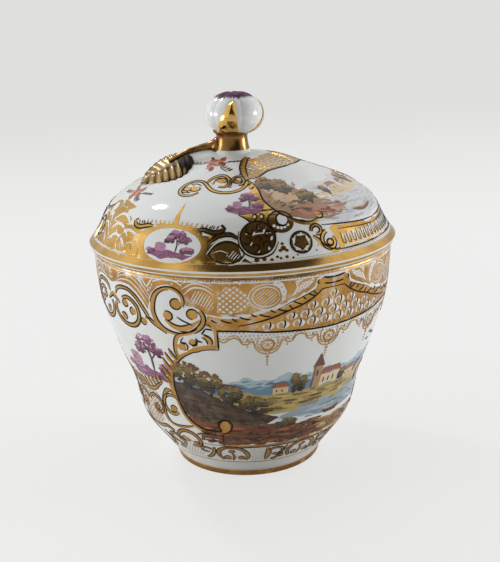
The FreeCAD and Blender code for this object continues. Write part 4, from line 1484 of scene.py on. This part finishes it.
# The rosette, the small volutes and the bits of leaf between the discs.
hand.plain = False
for layer, across, up in ((hand.ground, 4.2, 2.7), (hand.white, 3.3, 2.1), (hand.gold, 2.5, 1.6)):
    hand.field(layer, oval(*ROSETTE, across, up))
hand.line(oval(*ROSETTE, 4.2, 2.7) + [(25.7, 7.9)], 0.88, (1, 1))
for turn in range(0, 360, 72):
    towards = math.radians(turn + 30)
    hand.line([around(*ROSETTE, reach, towards + ahead, ROSETTE_DEGREE)
               for reach, ahead in ((0.9, 0), (1.9, 0.3), (1.5, 0.9))], 0.88)
    hand.drops(hand.white, [(*around(*ROSETTE, 2.2, towards - 0.35, ROSETTE_DEGREE), 0.26)])
for angle, along, radius in (
        (14.4, 6.9, 0.75), (13.2, 6.4, 0.5), (15.6, 6.3, 0.5), (14.2, 8, 0.45), (4.6, 4.4, 0.7),
        (7.2, 4.6, 0.6), (9.8, 4.3, 0.5), (11.8, 4.9, 0.45), (13, 4.5, 0.4), (15.2, 4.7, 0.5),
        (17.4, 4.4, 0.35), (19.2, 4.9, 0.28), (26.8, 5.4, 0.25), (28, 6.6, 0.22)):
    hand.drops(hand.gold, [(angle, along, radius)], 0.85)
hand.curl(28.9, 10.2, 1.7, 180, -300, 0.45, 0.7)
hand.ball(32.4, 14.3, 1.1, 200, 230)
hand.scroll([(18.8, 14.2, 0.9), (23.4, 12.7, 1), (28, 12.3, 1), (31.2, 12.9, 0.9)], LEFT_EDGE)
hand.curl(33.4, 7.2, 2.6, 100, 300, 0.45, 0.9)
hand.ball(33.2, 6.9, 0.8, 0, 300)
hand.scroll([
    (26.6, 9, 0.6), (28.4, 7.8, 0.9), (30.2, 6, 0.9), (33.6, 4.6, 0.9), (37, 4.5, 0.8)], LEFT_EDGE)

# The engraved strap under each picture, and the picture's frame with the beads outside it.
hand.field(hand.ground, [
    (37, 4.5), (45, 4.5), (54, 4.5), (63, 4.5), (63, 9.9), (54, 10.2), (45, 10.7), (37, 11.1),
    (34.6, 10.2), (36.6, 7.4)])
hand.line([(31.4, 11.4), (37, 11.1), (45, 10.6), (54, 10.1), (63.2, 9.9)], 0.88)
hand.line([(34.2, 4.6), (45, 4.5), (54, 4.5), (63.2, 4.5)], 0.88)
hand.line([(38.4, 9.7), (45, 9.4), (54, 8.9), (63.2, 8.6)], 0.71)
for number in range(9):
    angle = 39.2 + 2.9 * number
    hand.line([(angle, 8.6), (angle, 6), (angle + 1.5, 6), (angle + 1.5, 7.7)], 0.5)
    hand.scratch([(angle + 0.75, 8.5), (angle + 0.75, 6.9)], 0.62)
    hand.scratch([(angle + 2.2, 5.4), (angle + 2.2, 8.3)], 0.6)
    hand.scratch([(angle, 5.2), (angle + 2.9, 5.2)], 0.36)
hand.axis = FRAME_AXIS
hand.squeeze = FAR_SQUEEZE
hand.line([
    (4.6, 31.2), (7.4, 29.8), (9.4, 27.6), (10.2, 25), (10.2, 22.4), (11.8, 19.5), (14.8, 16.9),
    (19.3, 14.5), (24, 13.2), (28.5, 12.8), (31.2, 13.5)], 1.15)
hand.field(hand.gold, [
    (10, 25), (10, 22.4), (11.6, 19.5), (13.2, 17.9), (9, 17.7), (6.6, 19.4), (5.8, 22.4),
    (6.8, 25.2), (8.8, 27.2)])
hand.hatch(hand.lines, [
    (9.4, 24.6), (9.4, 22.4), (10.8, 19.8), (9, 18.2), (7.2, 19.8), (6.6, 22.4), (7.4, 24.6)], 20,
    0.9, 0.2)
for angle, along in ((5.6, 25.4), (4.8, 23.8), (4.6, 22.2), (4.9, 20.6), (5.8, 19.2)):
    hand.drops(hand.gold, [(angle, along, 0.55)])

# The wedge of trellis over each picture.
wedge = [
    (4.4, 31.4), (13, 32.3), (25, 34.8), (40, 35.7), (60.5, 36), (60.5, 44.6), (40, 44.2),
    (24, 42.6), (9, 42.6), (2, 38.4), (2.4, 34.4)]
hand.line([(4.4, 31.4), (13, 32.3), (25, 34.8), (40, 35.7), (60.6, 36)], 1.1)
hand.scroll([(4, 32.6, 1.2), (2.4, 35.4, 1.5), (2.6, 38.4, 1.5), (7, 41.8, 1.4), (14, 43.8, 1.1)])
hand.hatch(hand.gold, wedge, 30, 0.95, 0.34)
hand.hatch(hand.gold, wedge, -48, 1.5, 0.22)
for number in range(5):
    hand.line([(0.8 + 0.3 * number, 33.6 + 1.5 * number),
               (-1.6 + 0.4 * number, 34.4 + 1.5 * number)], 0.88)

# The chain of scrolls high on the lid. It runs the same way round on both sides.
hand.squeeze = 1
hand.mirrored = False
hand.pen = CHAIN_PEN
hand.scroll([
    (-24.5, 24.9, 0.4), (-28, 23.3, 0.7), (-33, 23.3, 0.8), (-37, 25.2, 0.9), (-37.6, 28, 0.9),
    (-34, 30, 0.9), (-29, 30.3, 0.8), (-25, 29.5, 0.8), (-21.5, 28.1, 0.9), (-17, 26.2, 0.9),
    (-11, 25.2, 0.9), (-5, 25.4, 0.9), (0, 26.8, 0.9), (3.5, 29.2, 0.9), (4.2, 31.2, 0.8)])
hand.ball(-28.2, 26.5, 1.25, 60, -250)
hand.ball(-33.2, 26.3, 1.15, 120, 220)
hand.line([(-26, 28.2), (-30, 28.9), (-34, 28.5)], 0.88)
hand.scroll([
    (-23.6, 29.8, 0.5), (-22.5, 31.6, 0.8), (-18.5, 33.2, 0.9), (-13, 33.3, 0.9), (-9, 31.8, 0.9),
    (-8.2, 29.6, 0.8), (-10.5, 28, 0.7), (-14.5, 28.1, 0.5)])
hand.ball(-13.8, 30.9, 1.25, -60, 250)
hand.scroll([
    (-7.2, 27.6, 0.5), (-6.8, 31, 0.8), (-3, 32.9, 0.8), (1.6, 32, 0.8), (1.6, 29.8, 0.7),
    (-1.4, 28.6, 0.5)])
hand.ball(-2.6, 30.6, 0.95, 90, 300)
hand.ball(-30.4, 25, 0.55, 20, 300)
hand.line([(-35.6, 25), (-33.6, 24.4), (-31.6, 24.6)], 0.9)
hand.line([(-18.6, 29.2), (-18.8, 31.2), (-16.6, 32.2), (-12.2, 32.1)], 0.9)
hand.drops(hand.gold, [(-19.4, 29.6, 0.6), (-17.4, 31, 0.5), (-31.6, 27.8, 0.45)])
hand.pen = LID_PEN
hand.mirrored = True
hand.squeeze = FAR_SQUEEZE
hand.field(hand.ground, [
    (2, 32.6), (4.4, 31.4), (7, 30), (9, 27.8), (7.4, 25.6), (4.6, 26.8), (3, 28.6), (0.4, 30.4)])
for angle, along in ((3.4, 30.8), (5.2, 29.2), (6.6, 27.4)):
    hand.line([(angle - 1.6, along - 0.7), (angle, along - 0.4), (angle + 1.4, along + 0.5)], 1)

hand.ground.piece("lid_gold_ground", lid_bright, "porcelain_lid")
hand.white.piece("lid_reserves", porcelain, "porcelain_lid")
hand.gold.piece("lid_gilding", lid_bright, "porcelain_lid")
hand.lines.piece("lid_outlines", fine_line, "porcelain_lid")


# The painting: small country views in enamel colours inside the gilt frames, and vignettes in
# puce between them. Washes first, then touches of the brush, all fired under the same shine.
def tint(*tones):
    """A colour written as it looks, from 0 to 255, as the shader takes it."""
    return tuple((tone / 255) ** 2.2 for tone in tones)


def enamel_paint():
    """Enamel colours as the strokes carry them, a little uneven in strength."""
    made, tree, shader, noise = new_material("enamel_paint", Roughness=0.14)
    colour = Value.node(tree, "ShaderNodeAttribute", {"attribute_name": "paint"}, None, "Color")
    thin = noise(420, 4, 0.7).smooth(0.35, 0.8) * 0.16
    mixed = thin.mixed(colour, (0.56, 0.47, 0.36, 1))
    dark = noise(310, 4, 0.7).smooth(0.5, 0.8) * 0.25
    Value.feed(shader.inputs["Base Color"], dark.mixed(mixed, (0.10, 0.07, 0.05, 1)))
    return made


class Brush:
    """A painter's brush on one skin. Places are degrees from the picture's middle and millimetres
    along the wall; facing -1 turns the view round."""

    def __init__(self, layer, middle, facing, start):
        self.layer, self.middle, self.facing, self.level = layer, middle, facing, start

    def at(self, points):
        return [(self.middle + self.facing * point[0], *point[1:]) for point in points]

    def wash(self, outline, colour):
        """A flat wash, each above the last."""
        self.level += 0.01
        self.layer.lift = self.level
        self.layer.field(self.at(outline), colour)

    def touch(self, points, width, colour, taper=(0.4, 0.3)):
        """One touch of the brush."""
        self.layer.lift = self.level + 0.004 + 0.006 * random.random()
        self.layer.stroke(self.at(through(points, 0.8)), width, taper, crown=0.004, colour=colour)

    def dabs(self, count, left, right, low, high, reach, width, tones, lean=0):
        """Loose short touches inside a box."""
        for _ in range(count):
            angle, along = random.uniform(left, right), random.uniform(low, high)
            tone = random.choice(tones)
            strength = random.uniform(0.8, 1.2)
            length = reach * random.uniform(0.5, 1.2)
            end = (angle + length, along + lean * length + random.uniform(-0.15, 0.15))
            self.touch([(angle, along), end], width * random.uniform(0.6, 1.2),
                       tuple(part * strength for part in tone))

    def house(self, place, walls, roof, eave, inset, rise, windows, sill):
        """A cottage: its walls, its roof and two dark windows at shares of its width."""
        left, low, wide, tall = place
        right, top = left + wide, low + tall
        self.wash([(left, low), (left, top), (right, top), (right, low)], walls)
        self.wash([
            (left - eave, top - 0.1), (left + inset, low + tall * rise),
            (right - inset, low + tall * rise), (right + eave, top - 0.1)], roof)
        for share in windows:
            self.touch([(left + wide * share, low + up) for up in sill], 0.4, BROWNS[0], (1, 1))

    def foliage(self, angle, along, half_width, half_height, tones, count):
        """A crown of leaves, dark below and light above."""
        for _ in range(count):
            turn, reach = random.uniform(0, 2 * math.pi), math.sqrt(random.random())
            across, up = reach * math.cos(turn), reach * math.sin(turn)
            pick = int((up + 1) / 2 * len(tones) + random.uniform(-0.4, 0.6))
            self.layer.lift = self.level + 0.004 + 0.010 * random.random()
            self.layer.disc(
                self.middle + self.facing * (angle + half_width * across), along + half_height * up,
                random.uniform(0.35, 0.75), 0.7, random.uniform(-40, 40), 7,
                tones[min(len(tones) - 1, pick)], 0.004)


GREENS = [tint(38, 30, 18), tint(62, 50, 26), tint(92, 77, 36), tint(136, 116, 56)]
BROWNS = [tint(42, 26, 19), tint(72, 44, 29), tint(114, 72, 44), tint(166, 116, 70)]
OCHRES = [tint(182, 150, 82), tint(158, 132, 70), tint(202, 176, 108), tint(132, 118, 58)]
REDS = [tint(150, 72, 44), tint(126, 54, 34), tint(170, 96, 60), tint(92, 46, 30)]
WATERS = [tint(136, 154, 170), tint(106, 130, 154), tint(172, 186, 196), tint(84, 108, 138)]
HILLS = [tint(96, 130, 158), tint(66, 100, 134), tint(136, 164, 182)]


def cup_view(layer, middle, facing):
    """A river valley: a wooded bank, a church and cottages, a stone bridge and blue hills."""
    brush = Brush(layer, middle, facing, 0.004)
    rim = [
        (-46.4, 15.4), (-46.4, 19.9), (-52, 20.6), (-55.8, 20.9), (-59.8, 22.1), (-63.2, 23.9),
        (-65.4, 26), (-66.6, 28.5), (-66.8, 31), (-66.6, 33.5), (-65.6, 36), (-64.4, 38.4)]

    def land(top, low, colour):
        """Ground from a skyline down to a level, as wide as the frame is there."""
        def side(level):
            """The frame's left side, a little inside its line, from the foot to a level."""
            path = [(angle, along) for angle, along in rim if low <= along < top[0][1] and (
                level == top[0][1] or along < level)]
            ends = [(between([(s, a) for a, s in rim], along), along) for along in (low, level)]
            return [(angle + 0.4, along) for angle, along in [ends[0]] + path + [ends[1]]]

        right = [(-angle, along) for angle, along in side(top[-1][1])]
        brush.wash(side(top[0][1]) + top[1:-1] + right[::-1], colour)

    land([
        (-64.8, 37), (-54, 37.8), (-44, 36.4), (-34, 38.8), (-26, 37.6), (-16, 39.4), (-6, 38),
        (4, 38.8), (14, 37.2), (24, 38.8), (34, 39.8), (44, 38.2), (54, 38.8), (65, 37.2)], 30,
        tint(176, 196, 206))
    land([
        (-65.2, 35.8), (-56, 36.4), (-46, 35.2), (-38, 36.6), (-28, 35.6), (-18, 36.8), (-8, 35.8),
        (4, 35.2), (16, 35.6), (28, 36.8), (38, 37.4), (48, 36.2), (58, 36.8), (65, 35.6)], 29,
        tint(104, 138, 164))
    brush.dabs(70, -60, 56, 34.4, 37.2, 3.5, 0.5, HILLS, 0.1)
    land([
        (-66.6, 33.4), (-50, 32.8), (-34, 33.6), (-18, 32.9), (0, 32.2), (18, 32.9), (34, 32.1),
        (50, 32.6), (66.4, 33)], 25, tint(184, 164, 100))
    brush.dabs(130, -62, 56, 26.5, 32, 7, 0.9, OCHRES + GREENS[2:], -0.02)
    brush.wash([
        (-22, 24.2), (-8, 26.4), (8, 27.6), (24, 28.2), (44, 28.4), (64.6, 28.4), (64.6, 26),
        (60, 22.6), (40, 22), (14, 22)], tint(146, 164, 178))
    brush.dabs(60, -10, 52, 22.8, 27.6, 8, 0.6, WATERS[:3])
    brush.dabs(16, -6, 50, 23, 27.4, 6, 0.35, WATERS[3:])
    brush.wash([
        (-66, 35.4), (-60, 35.8), (-54, 34.2), (-46, 31.2), (-38, 29), (-28, 27), (-18, 24.6),
        (-24, 22.8), (-44, 22.4), (-60, 23), (-64.6, 25.4), (-66.2, 29)], tint(62, 42, 28))
    brush.dabs(130, -64, -26, 23.4, 31, 6, 0.9,
               BROWNS[:2] * 2 + GREENS[:3] + [tint(104, 60, 36)], -0.12)
    land([
        (-63.4, 24.2), (-50, 24.6), (-34, 23.6), (-16, 22.8), (2, 21.4), (22, 20.6), (42, 20.9),
        (59, 22)], 15.5, tint(116, 68, 38))
    brush.dabs(110, -58, 0, 15.9, 22, 7.5, 0.85, REDS[1:] + BROWNS[:3], -0.03)
    brush.dabs(110, 0, 50, 15.9, 21, 7.5, 0.85, REDS[:2] + BROWNS[2:] + OCHRES + GREENS[3:], -0.03)
    brush.dabs(60, -54, 30, 15.8, 18.6, 5, 0.6, GREENS[:2] + BROWNS[:2])
    # Church: nave, tower and spire, light on one side.
    brush.wash([(-4, 32.2), (-4, 39.4), (0.4, 39.4), (0.4, 32.2)], tint(176, 140, 104))
    brush.wash([(0.4, 32.2), (0.4, 36.2), (11.6, 36.2), (11.6, 32.2)], tint(226, 206, 166))
    brush.wash([(-4.8, 39.3), (-1.8, 43.6), (1.2, 39.3)], tint(110, 72, 60))
    brush.wash([(-0.2, 36.1), (1.4, 38.3), (10.4, 38.3), (12.6, 36.1)], tint(150, 86, 62))
    for angle in (2.4, 5.2, 8):
        brush.touch([(angle, 33.4), (angle, 35)], 0.45, BROWNS[0], (1, 1))
    brush.touch([(-2, 36.2), (-2, 38)], 0.5, BROWNS[0], (1, 1))
    brush.touch([(-3.6, 32.4), (-3.6, 39.2)], 0.55, tint(128, 92, 66), (1, 1))
    for place in ((16, 32, 8, 2.3), (26.5, 31.8, 6, 2), (-22, 32.4, 7, 2.1)):
        brush.house(
            place, tint(218, 192, 150), tint(158, 92, 64), 0.8, 1.2, 1.75, (0.25, 0.6), (0.6, 1.4))
    # The bridge: three arches over the river.
    brush.wash([
        (33, 27.4), (33, 31.2), (40, 32.4), (47, 32.8), (54, 32.4), (60.5, 31.2), (60.5, 27.4)],
        tint(188, 154, 118))
    for angle in (38, 46.8, 55.6):
        brush.wash([
            (angle - 3.2, 27.2), (angle - 2.9, 29), (angle - 1.6, 30.3), (angle, 30.7),
            (angle + 1.6, 30.3), (angle + 2.9, 29), (angle + 3.2, 27.2)], tint(92, 98, 104))
    brush.dabs(40, 34, 58, 30.8, 32.2, 1.6, 0.35, BROWNS[1:] + OCHRES[:1])
    # Trees: a grove on the near bank, poplars by the church, a bush at the right.
    for angle, along, wide, tall, count in (
            (-58, 39, 6.5, 3.8, 150), (-49, 36.6, 6, 3.6, 130), (-40, 33.4, 5.5, 3, 100),
            (-31, 30, 4.5, 2.2, 60)):
        brush.touch([(angle, along - tall - 2), (angle + 0.6, along)], 0.7, BROWNS[0])
        brush.foliage(angle, along, wide, tall, GREENS + BROWNS[2:3], count)
    for angle, along, wide, tall, count in (
            (-12, 35.6, 1.7, 3.4, 46), (-8.4, 34.8, 1.4, 2.6, 34), (13.6, 34.4, 1.8, 1.8, 26),
            (60, 28.5, 4, 5, 130), (54, 23.6, 4, 1.8, 60), (-14, 22.6, 5, 1.3, 60)):
        brush.foliage(angle, along, wide, tall, GREENS, count)
    # A moored boat and some stones at the water's edge.
    brush.wash([
        (6, 23.6), (8, 22.4), (16, 22.3), (19, 23.8), (16, 23.3), (9, 23.2)], tint(92, 56, 40))
    brush.touch([(7, 23.8), (12, 23.5), (18.4, 24)], 0.3, tint(206, 160, 110))
    for angle, along in ((-4, 20), (-1, 19.4), (2.4, 20.2), (24, 19.8), (27, 19.2), (38, 20)):
        brush.layer.lift = brush.level + 0.012
        layer.disc(middle + facing * angle, along, random.uniform(0.7, 1.1), 0.7, 0, 9,
                   random.choice(BROWNS[:3]), 0.01)
        brush.touch([(angle - 1, along + 0.35), (angle + 0.8, along + 0.45)], 0.3, BROWNS[3])
    for angle, along in ((30, 43.6), (33.5, 42.6), (28, 41.8)):
        brush.touch([
            (angle - 1.2, along + 0.4), (angle, along), (angle + 1.3, along + 0.5)], 0.2, HILLS[1])


def lid_view(layer, middle, facing):
    """A lake between wooded rocks, with a farm on the far shore."""
    brush = Brush(layer, middle, facing, 0.004)
    brush.wash([
        (-30, 22), (-22, 25.6), (-12, 26.8), (0, 25.8), (12, 27.6), (24, 26.2), (36, 27), (48, 25),
        (50, 21), (0, 20)], tint(216, 217, 219))
    brush.dabs(30, -24, 42, 22.5, 25.6, 4, 0.6,
               [HILLS[2], tint(176, 190, 202), tint(214, 196, 190)])
    brush.wash([
        (-30, 21), (-10, 22.4), (10, 22), (30, 22.8), (48, 22), (48, 18.8), (0, 18)],
        tint(220, 200, 166))
    brush.dabs(60, -26, 42, 18.8, 21.8, 4, 0.6,
               OCHRES[2:3] + [tint(216, 176, 152), tint(230, 208, 172)])
    brush.wash([
        (-32, 17.6), (-10, 19.4), (20, 19.6), (46, 19.2), (44, 14), (34, 12), (20, 10.8), (0, 10.4),
        (-20, 11), (-30, 12.4)], tint(210, 211, 214))
    brush.dabs(80, -26, 36, 11.2, 18.6, 6, 0.6,
               [WATERS[2], tint(190, 194, 204), tint(216, 210, 212)])
    brush.wash([
        (-52, 26), (-50, 29.6), (-46, 30.6), (-40, 29.8), (-34, 30.4), (-30, 27), (-26, 22),
        (-18, 18.6), (-8, 16), (-12, 13.4), (-24, 12.6), (-34, 13.4), (-43, 15), (-48, 17),
        (-51, 19.8), (-52.4, 22.6)], tint(158, 122, 86))
    brush.wash([
        (-49, 27.4), (-44, 28.8), (-37, 27.6), (-31, 23), (-26, 19.2), (-36, 18.4), (-45, 20.6)],
        tint(204, 170, 136))
    brush.wash([
        (-42, 18), (-33, 17.6), (-24, 17.4), (-12, 15.4), (-22, 14), (-34, 14.6)],
        tint(176, 122, 104))
    brush.dabs(50, -50, -28, 18.4, 28.6, 3, 0.8,
               BROWNS[3:] + OCHRES[:3] + [tint(196, 148, 130), tint(140, 96, 70)], 0.5)
    brush.dabs(30, -50, -30, 15.6, 20.6, 3.4, 0.6, BROWNS[1:] + GREENS[1:3], 0.1)
    brush.dabs(30, -40, -14, 13.4, 17.4, 4, 0.7,
               REDS[:3] + BROWNS[2:] + [tint(176, 122, 124), tint(206, 164, 140)], -0.1)
    brush.wash([
        (30, 12.4), (38, 15), (46, 19), (50, 22), (51.6, 20.4), (49, 17.2), (44, 14.8), (36, 12.6)],
        tint(172, 146, 108))
    for place in ((-6, 21, 9, 2.1), (8, 21.4, 7, 1.8), (26, 21.8, 8, 2.2)):
        brush.house(
            place, tint(222, 198, 158), tint(166, 100, 74), 1, 1.6, 1.8, (0.3, 0.65), (0.5, 1.3))
    for angle, along, wide, tall, count in (
            (-45, 29, 6.5, 3, 110), (-36, 27, 6, 3.4, 110), (-27, 21.6, 5, 2.6, 80),
            (20, 23.6, 2.4, 2.4, 40), (40, 23, 2.8, 1.9, 40), (45.6, 18, 2.8, 1.6, 34),
            (-12, 22.6, 2, 1.8, 26)):
        brush.touch([(angle, along - tall - 1), (angle + 0.8, along)], 0.6, BROWNS[0])
        brush.foliage(angle, along, wide, tall, GREENS + BROWNS[2:4], count)
    brush.touch([(-8, 13.6), (0, 12.8), (9, 13.6)], 0.8, tint(110, 70, 50))
    brush.touch([(-8.6, 14.1), (0, 13.4), (9.6, 14.1)], 0.28, tint(214, 170, 120))


PUCES = [tint(70, 20, 52), tint(104, 40, 82), tint(136, 72, 114), tint(180, 128, 160)]


def puce_view(layer, middle, low, scale, start, facing=1):
    """A tree and a bush on a knoll with an old wall, in one colour."""
    brush = Brush(layer, middle, facing, start)

    def put(*points):
        return [(angle * scale, low + up * scale) for angle, up in points]

    foot = [(13 * scale, low + 1), (8 * scale, low - 0.4), (-4 * scale, low - 0.6)]
    brush.wash([(-13 * scale, low + 0.6)] + put((-8, 2.6), (-1, 3.6), (7, 2.4)) + foot, PUCES[2])
    brush.dabs(int(60 * scale), -11 * scale, 8 * scale, low, low + 2.6 * scale,
               3 * scale, 0.5 * scale, PUCES, -0.08)
    brush.wash(put(
        (-9, 2.2), (-9, 6.2), (-7.2, 6.8), (-4, 6.6), (-2.4, 5.4), (-2.6, 2.8)), PUCES[3])
    brush.dabs(int(26 * scale), -8.8 * scale, -4.6 * scale, low + 3 * scale, low + 6.2 * scale,
               1.8 * scale, 0.4 * scale, PUCES[1:])
    brush.touch(put((3, 2.4), (3.6, 6), (3, 9.4)), 0.8 * scale, PUCES[0])
    brush.touch(put((3.4, 5.6), (6.6, 8)), 0.5 * scale, PUCES[0])
    for angle, up, wide, tall, count in (
            (3, 10.6, 4.6, 2.2, 70), (7.6, 8.6, 3, 1.6, 40), (-0.8, 8.4, 2.8, 1.4, 34),
            (9.4, 3.6, 3.2, 1.4, 36), (-11, 2.6, 2.4, 1.2, 24)):
        brush.foliage(angle * scale, low + up * scale, wide * scale, tall * scale, PUCES,
                      int(count * scale) + 8)


def sprig(layer, middle, along, facing, tones, tall=1):
    """A loose flower sprig: red and ochre petals, a curled stem and small leaves."""
    brush = Brush(layer, middle, facing, 0.01)
    scale = 1 / layer.skin.per_degree(along)
    for petal in range(15):
        towards = math.radians(24 * petal + 15)
        reach = 0.8 + 0.55 * (petal % 4)
        layer.lift = 0.012 + 0.0014 * petal
        layer.disc(middle + facing * reach * math.cos(towards) * scale,
                   along + 0.7 * tall * reach * math.sin(towards),
                   0.95 * tall ** 0.4, 0.6, 24 * petal + 15, 10, tones[petal % 3], 0.01)
    layer.lift = 0.034
    layer.disc(middle, along, 0.65, 0.9, 0, 8, tint(200, 150, 60), 0.02)
    for side, rise, reach in (
            (1, 0.4 * tall, 6.4), (-1, -0.8 * tall, 6.2), (1, -1.4 * tall, 4.2), (-1, tall, 4.4)):
        brush.touch([
            (side * 1.8 * scale, along + 0.3 * rise), (side * reach * 0.6 * scale, along + rise),
            (side * reach * scale, along + 1.6 * rise)], 0.45, tint(56, 44, 44))
        for share in (0.5, 0.68, 0.85, 1):
            brush.touch([
                (side * reach * share * scale, along + 1.4 * rise * share),
                (side * (reach * share + 0.8) * scale, along + 1.4 * rise * share + 0.9)], 0.9,
                random.choice((tint(72, 58, 74), tint(62, 54, 34), tint(70, 60, 50))), (1, 0.3))


enamels = enamel_paint()
cup_paint = Layer(cup_skin, 0.02)
cup_view(cup_paint, CUP_AXIS, 1)
cup_view(cup_paint, CUP_AXIS + 180, -1)
puce_view(cup_paint, -46, 34.6, 1.15, 0.01)
puce_view(cup_paint, 134, 34.6, 1.15, 0.01, -1)
cup_paint.piece("cup_painting", enamels, "porcelain")

lid_paint = Layer(lid_skin, 0.006)
for _, path in hand.ways(wedge):
    lid_paint.field(path, tint(206, 176, 130))
lid_view(lid_paint, FRAME_AXIS, 1)
lid_view(lid_paint, 180 + FRAME_START + FAR_SQUEEZE * (FRAME_AXIS - FRAME_START), FAR_SQUEEZE)
for turned, facing in ((0, 1), (180, -1)):
    puce_view(lid_paint, RESERVE_MIDDLE[0] + turned, 4.6, 0.54, RESERVE_LIFT + 0.01, 1.35 * facing)
    puce_view(lid_paint, 1.5 + turned, 16.9, 0.62, 0.12, facing)
    sprig(lid_paint, -32 + turned, 39.8, facing,
          [tint(164, 66, 52), tint(200, 124, 76), tint(136, 46, 50)], 2)
    sprig(lid_paint, -66 + turned, 20.6, facing,
          [tint(178, 80, 58), tint(210, 140, 96), tint(150, 56, 54)], 1.3)
lid_paint.piece("lid_painting", enamels, "porcelain_lid")
